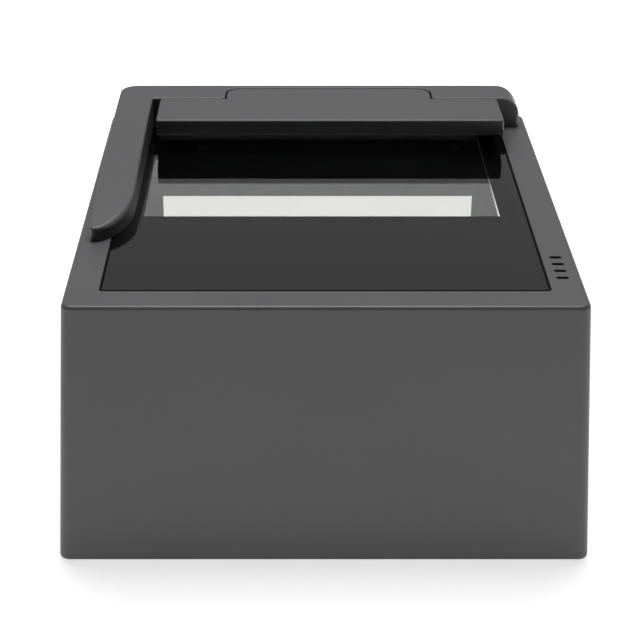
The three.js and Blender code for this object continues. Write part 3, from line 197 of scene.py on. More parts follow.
def plastic(name, look):
    # moulded plastic or rubber: a broad drift in shade and roughness, and a fine grain in the surface
    material, tree, place = startMaterial(name)
    roughSpread = 0.03
    drift = addNode(tree, "ShaderNodeTexNoise",
                    {"Vector": place, "Scale": 1 / (look["driftSize"] * mm), "Detail": 3.0})
    grain = addNode(tree, "ShaderNodeTexNoise",
                    {"Vector": place, "Scale": 1 / (look["grainSize"] * mm), "Detail": 2.0, "Roughness": 0.6})
    spread = look["driftShare"]
    shade = addNode(tree, "ShaderNodeMapRange",
                    {"Value": drift.outputs["Fac"], **noiseBand, "To Min": 1 - spread, "To Max": 1 + spread})
    speck = addNode(tree, "ShaderNodeMapRange",
                    {"Value": grain.outputs["Fac"], **noiseBand,
                     "To Min": 1 - look["speckShare"], "To Max": 1 + look["speckShare"]})
    both = addNode(tree, "ShaderNodeMath", {0: shade.outputs["Result"], 1: speck.outputs["Result"]},
                   operation="MULTIPLY")
    if "sprayed" in look:
        # along Y, from the first place to the second, the colour rises from the sprayed share to all of it
        parts = addNode(tree, "ShaderNodeSeparateXYZ", {0: place})
        start, end = look["sprayed"]
        spray = addNode(tree, "ShaderNodeMapRange",
                        {"Value": parts.outputs["Y"], "From Min": start * mm, "From Max": end * mm,
                         "To Min": look["sprayShare"], "To Max": 1.0})
        both = addNode(tree, "ShaderNodeMath", {0: both.outputs[0], 1: spray.outputs["Result"]},
                       operation="MULTIPLY")
    colour = addNode(tree, "ShaderNodeVectorMath", {0: linear(look["colour"])[:3], "Scale": both.outputs[0]},
                     operation="SCALE")
    rough = addNode(tree, "ShaderNodeMapRange",
                    {"Value": drift.outputs["Fac"], **noiseBand,
                     "To Min": look["roughness"] - roughSpread, "To Max": look["roughness"] + roughSpread})
    bump = addNode(tree, "ShaderNodeBump",
                   {"Height": grain.outputs["Fac"], "Strength": look["grainStrength"],
                    "Distance": look["grainDepth"] * mm})
    shader = addNode(tree, "ShaderNodeBsdfPrincipled",
                     {"Base Color": colour.outputs[0], "Roughness": rough.outputs["Result"],
                      "IOR": look["ior"], "Normal": bump.outputs["Normal"]})
    if "paintedEdgeHighlight" in look:
        # painted highlight: an edge at x on both sides, above low, glows white, more and more towards the
        # front, standing in for the lamps' light on it
        edge = look["paintedEdgeHighlight"]
        parts = addNode(tree, "ShaderNodeSeparateXYZ", {0: place})
        outwards = addNode(tree, "ShaderNodeMath", {0: parts.outputs["X"]}, operation="ABSOLUTE")
        onPaintedEdge = addNode(tree, "ShaderNodeMath",
                         {0: outwards.outputs[0], 1: edge["x"] * mm, 2: edge["reach"] * mm},
                         operation="COMPARE")
        high = addNode(tree, "ShaderNodeMath", {0: parts.outputs["Z"], 1: edge["low"] * mm},
                       operation="GREATER_THAN")
        along = addNode(tree, "ShaderNodeMapRange",
                        {"Value": parts.outputs["Y"], "From Min": edge["rear"] * mm,
                         "From Max": edge["front"] * mm, "To Min": 0.0, "To Max": edge["glow"]})
        lit = addNode(tree, "ShaderNodeMath", {0: onPaintedEdge.outputs[0], 1: high.outputs[0]},
                      operation="MULTIPLY")
        glow = addNode(tree, "ShaderNodeMath", {0: lit.outputs[0], 1: along.outputs["Result"]},
                       operation="MULTIPLY")
        # the painted highlight is white emission, not light from the lamps
        shader.inputs["Emission Color"].default_value = linear("#ffffff")
        tree.links.new(glow.outputs[0], shader.inputs["Emission Strength"])
    endMaterial(tree, shader.outputs["BSDF"])
    return material


def metal(name, look):
    # worked metal: fine lines or grain in one direction, in the roughness and in the surface
    material, tree, place = startMaterial(name)
    roughSpread = 0.06
    stretched = addNode(tree, "ShaderNodeMapping", {"Vector": place, "Scale": look["stretch"]})
    lines = addNode(tree, "ShaderNodeTexNoise",
                    {"Vector": stretched.outputs[0], "Scale": 1 / (look["lineSize"] * mm), "Detail": 3.0})
    rough = addNode(tree, "ShaderNodeMapRange",
                    {"Value": lines.outputs["Fac"], **noiseBand,
                     "To Min": look["roughness"] - roughSpread, "To Max": look["roughness"] + roughSpread})
    shade = addNode(tree, "ShaderNodeMapRange",
                    {"Value": lines.outputs["Fac"], **noiseBand, "To Min": 0.9, "To Max": 1.08})
    colour = addNode(tree, "ShaderNodeVectorMath",
                     {0: linear(look["colour"])[:3], "Scale": shade.outputs["Result"]}, operation="SCALE")
    bump = addNode(tree, "ShaderNodeBump",
                   {"Height": lines.outputs["Fac"], "Strength": 0.4, "Distance": look["lineDepth"] * mm})
    shader = addNode(tree, "ShaderNodeBsdfPrincipled",
                     {"Base Color": colour.outputs[0], "Metallic": 1.0, "Roughness": rough.outputs["Result"],
                      "Normal": bump.outputs["Normal"]})
    endMaterial(tree, shader.outputs["BSDF"])
    return material


# ABS, injection moulded in a finely spark-eroded tool: even matt dark grey, with a soft sheen at a low angle
casingAbs = plastic("moulded_abs_spark_texture", {
    "colour": "#5c5c5e", "roughness": 0.42, "ior": 1.54,
    "driftSize": 45, "driftShare": 0.025,
    "grainSize": 0.5,  # real pits are about 0.05 mm, too fine to show, so these are ten times coarser
    "speckShare": 0.03, "grainDepth": 0.02, "grainStrength": 0.35})

# black ABS with the same moulded texture: the base plate and the plate under the hood
darkAbs = plastic("moulded_black_abs", {
    "colour": "#2c2c2e", "roughness": 0.6, "ior": 1.54, "driftSize": 30, "driftShare": 0.04,
    "grainSize": 0.8, "speckShare": 0.06, "grainDepth": 0.03, "grainStrength": 0.4})

# compression moulded rubber: nearly black, dull, with a faint bloom
footRubber = plastic("moulded_rubber", {
    "colour": "#1d1d1e", "roughness": 0.85, "ior": 1.52, "driftSize": 4, "driftShare": 0.12,
    "grainSize": 0.4, "speckShare": 0.1, "grainDepth": 0.04, "grainStrength": 0.5})

# open cell polyurethane foam strip: dull black with its cells showing
gasketFoam = plastic("cut_polyurethane_foam", {
    "colour": "#161616", "roughness": 0.95, "ior": 1.45, "driftSize": 6, "driftShare": 0.1,
    "grainSize": 0.6, "speckShare": 0.35, "grainDepth": 0.2, "grainStrength": 0.8})

# satin grey ABS of the chamber, moulded smooth, and sprayed matt black towards the front against stray light;
# the edge of the flange's opening along the window carries a painted highlight, a white glow that grows
# towards the front
chamberAbs = plastic("moulded_abs_satin_grey", {
    "colour": "#7e7f82", "roughness": 0.55, "ior": 1.54, "driftSize": 40, "driftShare": 0.02,
    "grainSize": 0.6, "speckShare": 0.02, "grainDepth": 0.01, "grainStrength": 0.2,
    "sprayed": (28, 56), "sprayShare": 0.12,
    "paintedEdgeHighlight": {"x": 64.15, "reach": 0.15, "low": 83.4, "rear": 36, "front": -12, "glow": 1.2}})

# matt black flocked film: the fibres take nearly all light
baffleFlock = plastic("flocked_black_film", {
    "colour": "#1a1a1c", "roughness": 0.95, "ior": 1.4, "driftSize": 8, "driftShare": 0.12,
    "grainSize": 0.35, "speckShare": 0.3, "grainDepth": 0.05, "grainStrength": 0.6})

# satin black ABS of the lens holder and barrel
cameraAbs = plastic("moulded_black_satin_abs", {
    "colour": "#18181a", "roughness": 0.4, "ior": 1.54, "driftSize": 6, "driftShare": 0.05,
    "grainSize": 0.3, "speckShare": 0.04, "grainDepth": 0.01, "grainStrength": 0.3})

# black PBT of the power jack and the buzzer: smoother than the casing
jackPbt = plastic("moulded_black_pbt", {
    "colour": "#161617", "roughness": 0.38, "ior": 1.55, "driftSize": 5, "driftShare": 0.06,
    "grainSize": 0.25, "speckShare": 0.05, "grainDepth": 0.01, "grainStrength": 0.3})

# stamped steel with tin plating: bright, with the faint lines of the rolled sheet
portSteel = metal("stamped_tin_plated_steel", {
    "colour": "#bcbdbf", "roughness": 0.28, "stretch": (1, 14, 14), "lineSize": 6, "lineDepth": 0.004})

# hard drawn spring wire: a greyish shine with lines along the drawing
springSteel = metal("drawn_spring_wire", {
    "colour": "#9b9da1", "roughness": 0.3, "stretch": (12, 1, 1), "lineSize": 2, "lineDepth": 0.004})

# zinc plated steel screws: a cool bright grey, slightly clouded by the plating bath
screwSteel = metal("zinc_plated_steel", {
    "colour": "#a6a8ab", "roughness": 0.36, "stretch": (1, 1, 1), "lineSize": 1.2, "lineDepth": 0.006})

# extruded and clear anodised aluminium: soft bright grey with die lines along the fins
sinkAluminium = metal("anodised_extruded_aluminium", {
    "colour": "#b4b6b8", "roughness": 0.42, "stretch": (10, 1, 10), "lineSize": 4, "lineDepth": 0.01})


# places past which the black print covers the glass, well outside the window
covered = {"side": 69, "front": -22}


def floatGlass():
    # float glass: almost colourless, very faintly green, with a clean mirror-like surface
    material, tree, place = startMaterial("float_glass")
    film = addNode(tree, "ShaderNodeTexNoise", {"Vector": place, "Scale": 1 / (35 * mm), "Detail": 2.0})
    rough = addNode(tree, "ShaderNodeMapRange",
                    {"Value": film.outputs["Fac"], "From Min": 0.4, "From Max": 0.8,
                     "To Min": 0.0, "To Max": 0.006})
    # over the print no light comes back from below, so there the glass is black under its surface
    parts = addNode(tree, "ShaderNodeSeparateXYZ", {0: place})
    outwards = addNode(tree, "ShaderNodeMath", {0: parts.outputs["X"]}, operation="ABSOLUTE")
    beside = addNode(tree, "ShaderNodeMath", {0: outwards.outputs[0], 1: covered["side"] * mm},
                     operation="GREATER_THAN")
    before = addNode(tree, "ShaderNodeMath", {0: parts.outputs["Y"], 1: covered["front"] * mm},
                     operation="LESS_THAN")
    dark = addNode(tree, "ShaderNodeMath", {0: beside.outputs[0], 1: before.outputs[0]}, operation="MAXIMUM")
    clear = addNode(tree, "ShaderNodeMath", {0: 1.0, 1: dark.outputs[0]}, operation="SUBTRACT")
    tint = addNode(tree, "ShaderNodeMix", {0: dark.outputs[0], 6: linear("#fafcfb"), 7: linear("#08080a")},
                   data_type="RGBA")
    shader = addNode(tree, "ShaderNodeBsdfPrincipled",
                     {"Base Color": tint.outputs[2], "Roughness": rough.outputs["Result"], "IOR": 1.52,
                      "Transmission Weight": clear.outputs[0]})
    endMaterial(tree, shader.outputs["BSDF"])
    return material


def printedBlack():
    # screen printed black ink: seen through the glass, so it has no gloss of its own, only a faint unevenness
    material, tree, place = startMaterial("screen_printed_black_ink")
    cloud = addNode(tree, "ShaderNodeTexNoise", {"Vector": place, "Scale": 1 / (14 * mm), "Detail": 2.0})
    shade = addNode(tree, "ShaderNodeMapRange",
                    {"Value": cloud.outputs["Fac"], **noiseBand, "To Min": 0.95, "To Max": 1.05})
    colour = addNode(tree, "ShaderNodeVectorMath",
                     {0: linear("#0a0a0b")[:3], "Scale": shade.outputs["Result"]}, operation="SCALE")
    shader = addNode(tree, "ShaderNodeBsdfPrincipled",
                     {"Base Color": colour.outputs[0], "Roughness": 0.9, "Specular IOR Level": 0.0})
    endMaterial(tree, shader.outputs["BSDF"])
    return material


def opalAcrylic(name, glow, spill):
    # opal acrylic over white lamps: an almost even glow, of which only the share spill lights other surfaces
    material, tree, place = startMaterial(name)
    cloud = addNode(tree, "ShaderNodeTexNoise", {"Vector": place, "Scale": 1 / (16 * mm), "Detail": 2.0})
    unevenness = 0.015 * glow
    level = addNode(tree, "ShaderNodeMapRange",
                    {"Value": cloud.outputs["Fac"], **noiseBand,
                     "To Min": glow - unevenness, "To Max": glow + unevenness})
    rays = addNode(tree, "ShaderNodeLightPath")
    bounces = addNode(tree, "ShaderNodeMath",
                      {0: rays.outputs["Diffuse Depth"], 1: rays.outputs["Glossy Depth"]}, operation="ADD")
    weaker = addNode(tree, "ShaderNodeMapRange",
                     {"Value": bounces.outputs[0], "From Min": 0.0, "From Max": 1.0,
                      "To Min": 1.0, "To Max": spill})
    seen = addNode(tree, "ShaderNodeMath", {0: level.outputs["Result"], 1: weaker.outputs["Result"]},
                   operation="MULTIPLY")
    shader = addNode(tree, "ShaderNodeBsdfPrincipled",
                     {"Base Color": linear("#d9d9d6"), "Roughness": 0.5, "IOR": 1.49,
                      "Emission Color": linear("#fffefb"), "Emission Strength": seen.outputs[0]})
    endMaterial(tree, shader.outputs["BSDF"])
    return material


def coatedLens():
    # polished lens with an antireflection coat: dark, with a blue violet reflection
    material, tree, place = startMaterial("coated_lens_glass")
    cloud = addNode(tree, "ShaderNodeTexNoise", {"Vector": place, "Scale": 1 / (5 * mm), "Detail": 1.0})
    tint = addNode(tree, "ShaderNodeMix",
                   {0: cloud.outputs["Fac"], 6: linear("#141a33"), 7: linear("#1f1536")}, data_type="RGBA")
    shader = addNode(tree, "ShaderNodeBsdfPrincipled",
                     {"Base Color": tint.outputs[2], "Roughness": 0.04, "IOR": 1.6, "Coat Weight": 0.6,
                      "Coat Roughness": 0.02})
    endMaterial(tree, shader.outputs["BSDF"])
    return material


def circuitBoard():
    # solder mask over copper tracks: green lacquer, lighter where a track runs under it
    material, tree, place = startMaterial("solder_masked_circuit_board")
    spread = addNode(tree, "ShaderNodeMapping", {"Vector": place, "Scale": (1, 1, 0.05)})
    cells = addNode(tree, "ShaderNodeTexBrick",
                    {"Vector": spread.outputs[0], "Scale": 1 / (9 * mm), "Color1": linear("#1c5a35"),
                     "Color2": linear("#19502f"), "Mortar": linear("#2f7a4c"), "Mortar Size": 0.035})
    fine = addNode(tree, "ShaderNodeTexNoise", {"Vector": place, "Scale": 1 / (0.8 * mm), "Detail": 2.0})
    bump = addNode(tree, "ShaderNodeBump",
                   {"Height": cells.outputs["Fac"], "Strength": 0.4, "Distance": 0.03 * mm})
    rough = addNode(tree, "ShaderNodeMapRange",
                    {"Value": fine.outputs["Fac"], **noiseBand, "To Min": 0.3, "To Max": 0.42})
    shader = addNode(tree, "ShaderNodeBsdfPrincipled",
                     {"Base Color": cells.outputs["Color"], "Roughness": rough.outputs["Result"], "IOR": 1.5,
                      "Normal": bump.outputs["Normal"]})
    endMaterial(tree, shader.outputs["BSDF"])
    return material


def flatCable():
    # laminated polyester ribbon: pale, with its tinned conductors as darker stripes across X
    material, tree, place = startMaterial("laminated_flat_cable")
    stripeGap = 2.0  # twice a real ribbon's, which would be too fine to show
    stripes = addNode(tree, "ShaderNodeTexWave",
                      {"Vector": place, "Scale": math.pi / (10 * stripeGap * mm), "Distortion": 0.0},
                      bands_direction="X")
    tint = addNode(tree, "ShaderNodeMix",
                   {0: stripes.outputs["Fac"], 6: linear("#b9b6ac"), 7: linear("#e4e1d8")}, data_type="RGBA")
    shader = addNode(tree, "ShaderNodeBsdfPrincipled",
                     {"Base Color": tint.outputs[2], "Roughness": 0.4, "IOR": 1.5})
    endMaterial(tree, shader.outputs["BSDF"])
    return material


clearGlass = floatGlass()
blackInk = printedBlack()
litPanel = opalAcrylic("opal_acrylic_lit", 0.83, 0.3)
sidePanelGlow = opalAcrylic("opal_acrylic_side", 0.7, 0.08)
lensCoat = coatedLens()
boardGreen = circuitBoard()
ribbonLaminate = flatCable()

slotMaterials = {
    "casing": casingAbs, "dark_plastic": darkAbs, "foot_rubber": footRubber, "glass": clearGlass,
    "black_print": blackInk, "foam": gasketFoam, "chamber_grey": chamberAbs, "baffle_black": baffleFlock,
    "diffuser_white": sidePanelGlow, "ribbon": ribbonLaminate, "camera_black": cameraAbs,
    "lens_glass": lensCoat, "heat_sink": sinkAluminium, "port_steel": portSteel, "jack_black": jackPbt,
    "spring_steel": springSteel, "board_green": boardGreen, "screw_steel": screwSteel,
}

for row in frame["record"]["subparts"]:
    node = frame["nodes"][row["node"]]
    node.data.materials.clear()
    node.data.materials.append(slotMaterials[row["material_slot"]])
frame["nodes"]["rear_diffuser"].data.materials[0] = litPanel
print("materials made:", len(bpy.data.materials))


# casing

casing = {
    "halfWidth": 83.6, "halfDepth": 92.5, "glassLevel": 91.9, "bottom": 0.6,
    "draft": 4.8,  # how far each wall leans out over its height
    "wall": 2.5, "cornerRadius": 3.6, "topEdge": 1.3, "bottomEdge": 1.1,
    "pocketHalfWidth": 72.5, "pocketFront": -80.4, "pocketRear": 82.6, "pocketCorner": 1.5, "pocketEdge": 0.3,
    "ledgeTop": 87.85, "ledgeBottom": 85.35, "ledge": 3.0, "ledgeCorner": 0.4,
    "rimWall": 2.5, "rimCorner": 1.0,
    "pillarX": 76.4, "pillarY": 85.3, "pillarRadius": 4.0, "pillarBottom": 3.7,
    "bossX": 40.128, "bossY": 87.55, "bossRadius": 2.3,
    "holeRadius": 1.35, "pillarHole": (2.6, 14.6), "bossHole": 5.2, "clearRadius": 1.6, "clearHole": 3.5,
}
past = 1.0  # how far a cutter runs out of the surface that it opens
guideScrewPlaces = [(-77.3, -18.5), (-77.3, 40.7), (-57.6, 87.55), (63.6, 87.55)]
hinge = {"x": 4.1, "y": 84.8, "z": 99.7, "bore": 1.4}  # the axis that the hood turns on
soundSlots = {
    "x": 77.3, "length": 4.1, "width": 1.8, "firstY": -70.0, "pitch": 5.5, "count": 4, "depth": 4.0,
    "flare": [(0.0, 0.3), (0.04, 0.17), (0.14, 0.05), (0.3, 0.0)],  # how much wider, at which depth
    "flat": 0.01,  # length left straight at its round ends
}
ports = {
    "y0": 89.0, "y1": 99.0, "bottom": 9.1, "top": 20.7,
    "usb": (19.7, 32.3), "jack": (-33.3, -23.7), "corner": 0.6, "edge": 0.4,
}


def lean(z):
    # the walls stand out by draft * (glass level - z) / height
    return casing["draft"] * (casing["glassLevel"] - z) / (casing["glassLevel"] - casing["bottom"])


def centredLoop(halfX, halfY, radius, z, steps=12):
    return atHeight(roundedLoop(-halfX, halfX, -halfY, halfY, radius, steps), z)


def bodyLoop(z, tuck=0.0, inset=0.0):
    # the casing's outline at height z, drawn in by the wall's inset and by an edge's tuck
    grow = lean(z) - inset - tuck
    radius = casing["cornerRadius"] - inset - tuck
    return centredLoop(casing["halfWidth"] + grow, casing["halfDepth"] + grow, radius, z)


def pocketLoop(grow, radius, z):
    # the glass pocket's outline at height z, grown outwards on all sides
    c = casing
    halfX = c["pocketHalfWidth"] + grow
    loop = roundedLoop(-halfX, halfX, c["pocketFront"] - grow, c["pocketRear"] + grow, radius, 12)
    return atHeight(loop, z)


def makeCasing():
    # one closed profile carried round a rounded rectangle: outer wall, top edge as a quarter circle
    # (tuck = r (1 - cos a), z = top - r (1 - sin a)), frame, pocket, ledge, underside and inner wall
    c = casing
    level, low = c["glassLevel"], c["bottom"]
    loops = []
    edge = c["bottomEdge"]
    for a in np.linspace(0, math.pi / 2, 6):
        loops.append(bodyLoop(low + edge * (1 - math.sin(a)), tuck=edge * (1 - math.cos(a))))
    loops = loops[::-1]
    edge = c["topEdge"]
    for a in np.linspace(0, math.pi / 2, 13):
        loops.append(bodyLoop(level - edge * (1 - math.sin(a)), tuck=edge * (1 - math.cos(a))))
    edge, skin = c["pocketEdge"], level - c["wall"]
    for a in np.linspace(0, math.pi / 2, 5):
        out = edge * (1 - math.sin(a))
        loops.append(pocketLoop(out, c["pocketCorner"] + out, level - edge * (1 - math.cos(a))))
    loops.append(pocketLoop(0, c["pocketCorner"], c["ledgeTop"]))
    loops.append(pocketLoop(-c["ledge"], c["ledgeCorner"], c["ledgeTop"]))
    loops.append(pocketLoop(-c["ledge"], c["ledgeCorner"], c["ledgeBottom"]))
    loops.append(pocketLoop(c["rimWall"], c["rimCorner"], c["ledgeBottom"]))
    loops.append(pocketLoop(c["rimWall"], c["rimCorner"], skin))
    loops.append(bodyLoop(skin, inset=c["wall"]))
    loops.append(bodyLoop(low, inset=c["wall"]))
    return stack("casing_shell", loops, capped=False)


def slotCutter(index):
    # a slot with round ends that flares at its mouth like a quarter circle
    s = soundSlots
    y = s["firstY"] + s["pitch"] * index
    level = casing["glassLevel"]
    loops = []
    for grow, depth in [(0, s["depth"]), *s["flare"], (s["flare"][-1][0], -past)]:
        halfX, halfY = s["length"] / 2 + grow, s["width"] / 2 + grow
        loop = roundedLoop(s["x"] - halfX, s["x"] + halfX, y - halfY, y + halfY, halfY - s["flat"])
        loops.append(atHeight(loop, level - depth))
    return stack("cutter", loops)


def portCutter(x0, x1):
    # a rounded opening through the rear wall that flares a little outwards
    p = ports
    rear = casing["halfDepth"] + lean((p["bottom"] + p["top"]) / 2)
    loops = []
    for grow, y in [(0, p["y0"]), (0, rear - p["edge"]), (p["edge"], rear), (p["edge"] * 2, p["y1"])]:
        flat = roundedLoop(x0 - grow, x1 + grow, p["bottom"] - grow, p["top"] + grow, p["corner"] + grow, 5)
        loops.append(np.column_stack([flat[:, 0], np.full(len(flat), y), flat[:, 1]])[::-1])
    return stack("cutter", loops)


def casingBosses():
    # round bosses that the other pieces screw to: place, radius, lower and upper end
    c = casing
    skin = c["glassLevel"] - c["wall"] / 2
    rows = []
    for signX in (-1, 1):
        for signY in (-1, 1):
            rows.append((signX * c["pillarX"], signY * c["pillarY"], c["pillarRadius"], c["pillarBottom"],
                         skin))
            rows.append((signX * c["bossX"], signY * c["bossY"], c["bossRadius"], c["ledgeBottom"], skin))
    return [post("boss", x, y, r, z0, z1) for x, y, r, z0, z1 in rows]


def screwHoles():
    # clear holes under the bosses and through the top skin, for the base, chamber and guide screws
    c = casing
    rows = []
    for signX in (-1, 1):
        for signY in (-1, 1):
            rows.append((signX * c["pillarX"], signY * c["pillarY"], c["holeRadius"], *c["pillarHole"]))
            rows.append((signX * c["bossX"], signY * c["bossY"], c["holeRadius"], c["ledgeBottom"] - past,
                         c["ledgeBottom"] + c["bossHole"]))
    for x, y in guideScrewPlaces:
        rows.append((x, y, c["clearRadius"], c["glassLevel"] - c["clearHole"], c["glassLevel"] + past))
    return [post("hole", x, y, r, z0, z1, holeSides) for x, y, r, z0, z1 in rows]


shell = makeCasing()
combine(shell, casingBosses(), "UNION")
combine(shell, [slotCutter(i) for i in range(soundSlots["count"])])
combine(shell, [portCutter(*ports["usb"]), portCutter(*ports["jack"])])
combine(shell, screwHoles())
smoothEdges(shell)
finishPiece(shell, "reader", ["housing_shell"], casingAbs)
print("casing made:", len(shell.data.polygons))


# glass plate and its print

glass = {"halfWidth": 71.9, "front": -79.8, "rear": 82.0, "bottom": 88.8, "top": 91.8,
         "corner": 1.2, "edge": 0.25}
ink = {"halfWidth": 71.75, "front": -79.65, "rear": 81.85, "bottom": 88.82, "top": 88.84,
       "windowHalf": 62.95, "windowFront": -15.1, "windowRear": 76.4, "corner": 1.1, "windowCorner": 0.15}


def makeGlass():
    # a slab with ground edges: a 45 degree chamfer round both faces
    g = glass
    loops = []
    for tuck, z in [(g["edge"], g["bottom"]), (0, g["bottom"] + g["edge"]), (0, g["top"] - g["edge"]),
                    (g["edge"], g["top"])]:
        halfX, corner = g["halfWidth"] - tuck, g["corner"] - tuck
        loops.append(atHeight(roundedLoop(-halfX, halfX, g["front"] + tuck, g["rear"] - tuck, corner, 6), z))
    return stack("glass_slab", loops)


def makeInk():
    # a thin printed layer with one clear window, kept just inside the glass so that no air lies between them
    k = ink
    outside = roundedLoop(-k["halfWidth"], k["halfWidth"], k["front"], k["rear"], k["corner"], 4)
    window = roundedLoop(-k["windowHalf"], k["windowHalf"], k["windowFront"], k["windowRear"],
                         k["windowCorner"], 4)
    loops = [atHeight(outside, k["bottom"]), atHeight(outside, k["top"]), atHeight(window, k["top"]),
             atHeight(window, k["bottom"])]
    return stack("printed_border", loops, capped=False)


finishPiece(makeGlass(), "reader", ["glass_plate"], clearGlass)
finishPiece(makeInk(), "reader", ["glass_border"], blackInk)


# document guide

guide = {
    "left": -79.4, "inner": -65.9, "right": 80.3, "rear": 92.5, "stop": 76.4, "tip": -40.8, "sweep": 28.0,
    "bottom": 92.0, "top": 104.2, "tipTop": 96.8,
    "notchLeft": -37.15, "notchRight": 45.35, "notchRear": 89.2, "notchCorner": 6.4, "notchFloor": 93.6,
    "rearCorner": 7.0, "frontCorner": 1.3, "tipEdge": 1.1, "insideCorner": 0.6, "mouthCorner": 0.5,
    "sweepEdge": 2.1, "stopEdge": 0.9, "notchEdge": 0.3, "notchRearEdge": 0.7, "rearEdge": 0.4,
    "sideEdge": 0.7,
    "rollWidth": 9.6, "rollDrop": 8.3, "rollPower": 2.4,
    "firstY": 0.24, "firstZ": 0.54, "secondY": 0.56,  # shares that shape the rail's top line
    "padOffset": 33.0, "padHalf": 3.0, "padFront": 77.8, "padRear": 80.2, "padTop": 96.05,
    "padSink": 0.8, "boreHalf": 44.9, "screwTop": 96.9,
    "floorLap": 1.0, "floorFront": 0.5, "floorCorner": 6.0,
    "sweepStart": -76,  # degrees: the swept end starts where it has left the tip's rounded corner
    "gridX": 2.5, "gridY": 2.0, "gridMargin": 2.0, "rimMargin": 1.4,  # spacing of the points on top
}


def filletArc(before, corner, after, radius, steps):
    # the quarter-like arc that touches both lines that meet at the corner
    corner = np.array(corner, float)
    u = np.array(before, float) - corner
    v = np.array(after, float) - corner
    u, v = u / np.linalg.norm(u), v / np.linalg.norm(v)
    half = math.acos(np.clip(u @ v, -1, 1)) / 2
    centre = corner + (u + v) / np.linalg.norm(u + v) * radius / math.sin(half)
    start, end = corner + u * radius / math.tan(half), corner + v * radius / math.tan(half)
    a0 = math.atan2(*(start - centre)[::-1])
    turn = (math.atan2(*(end - centre)[::-1]) - a0 + math.pi) % (2 * math.pi) - math.pi
    a = a0 + turn * np.linspace(0, 1, steps + 1)
    return centre + radius * np.stack([np.cos(a), np.sin(a)], 1)


def roundedPath(corners, spacing=2.0, steps=10):
    # a closed path through corners of (x, y, radius, edge): arcs at the corners, and even points between them
    # edge is the radius of the rounded top edge from that corner on; both come back for each point
    count = len(corners)
    points, edges = [], []
    for i, (x, y, radius, edge) in enumerate(corners):
        before, after = corners[i - 1][:2], corners[(i + 1) % count][:2]
        arc = filletArc(before, (x, y), after, radius, steps) if radius > 0 else np.array([[x, y]], float)
        last = corners[i - 1][3]
        if points:
            gap = arc[0] - points[-1][-1]
            inner = max(int(np.linalg.norm(gap) / spacing), 1)
            if inner > 1:
                share = np.linspace(0, 1, inner + 1)[1:-1, None]
                points.append(points[-1][-1] + gap * share)
                edges.append(np.full(inner - 1, last))
        points.append(arc)
        edges.append(np.linspace(last, edge, len(arc)))
    gap = points[0][0] - points[-1][-1]
    inner = max(int(np.linalg.norm(gap) / spacing), 1)
    if inner > 1:
        points.append(points[-1][-1] + gap * np.linspace(0, 1, inner + 1)[1:-1, None])
        edges.append(np.full(inner - 1, corners[-1][3]))
    return np.concatenate(points), np.concatenate(edges)


def inwardNormals(path):
    # for an anticlockwise path: the direction to the next point less that from the last one, turned left
    along = np.roll(path, -1, 0) - path
    along /= np.linalg.norm(along, axis=1)[:, None]
    both = along + np.roll(along, 1, 0)
    both /= np.linalg.norm(both, axis=1)[:, None]
    # where the path turns, it is stretched by 1 / cos of half the turn, at most to twice its length
    stretch = 1 / np.clip((both * along).sum(1), 0.5, 1)
    return np.stack([-both[:, 1], both[:, 0]], 1) * stretch[:, None]


def softTop(name, path, edges, topOf, bottom, innerPoints, steps=7):
    # upright sides, then an edge rounded by its own radius: in by r (1 - cos a), down by r (1 - sin a) from
    # the top surface z = topOf(x, y); the top itself is a mesh of triangles over the inner points
    inward = inwardNormals(path)
    loops = [atHeight(path, bottom)]
    for a in np.linspace(0, math.pi / 2, steps + 1):
        spot = path + inward * (edges * (1 - math.cos(a)))[:, None]
        loops.append(np.column_stack([spot, topOf(spot[:, 0], spot[:, 1]) - edges * (1 - math.sin(a))]))
    count, rows = len(path), len(loops)
    faces = gridFaces(rows, count)
    rim = loops[-1][:, :2]
    border = [(i, (i + 1) % count) for i in range(count)]
    insideOnly, merge = 1, 1e-6
    spots, _, triangles, source, _, _ = delaunay_2d_cdt(
        [tuple(p) for p in np.concatenate([rim, innerPoints])], border, [], insideOnly, merge)
    spots = np.array([tuple(s) for s in spots])
    origin = np.array([min(s) if s else -1 for s in source])
    base = (rows - 1) * count
    extra = np.flatnonzero((origin < 0) | (origin >= count))
    number = np.where((origin >= 0) & (origin < count), base + origin, 0)
    number[extra] = rows * count + np.arange(len(extra))
    tops = np.column_stack([spots[extra], topOf(spots[extra, 0], spots[extra, 1])])
    faces += [[int(number[i]) for i in t] for t in triangles]
    faces.append(list(range(count))[::-1])
    return makePiece(name, np.concatenate(loops + [tops]), faces)


def inside(points, path, margin):
    # keeps the points inside the closed path and at least margin away from it: a ray to +X crosses it an odd
    # number of times, and the nearest edge is margin away or more
    start, end = path, np.roll(path, -1, 0)
    px, py = points[:, :1], points[:, 1:]
    rising = (start[:, 1] > py) != (end[:, 1] > py)
    slope = np.where(end[:, 1] == start[:, 1], 1e-12, end[:, 1] - start[:, 1])
    cross = start[:, 0] + (py - start[:, 1]) / slope * (end[:, 0] - start[:, 0])
    odd = (rising & (px < cross)).sum(1) % 2 == 1
    along = end - start
    share = ((px - start[:, 0]) * along[:, 0] + (py - start[:, 1]) * along[:, 1]) / (along**2).sum(1)
    share = np.clip(share, 0, 1)
    away = np.hypot(px - start[:, 0] - share * along[:, 0], py - start[:, 1] - share * along[:, 1]).min(1)
    return points[odd & (away > margin)]


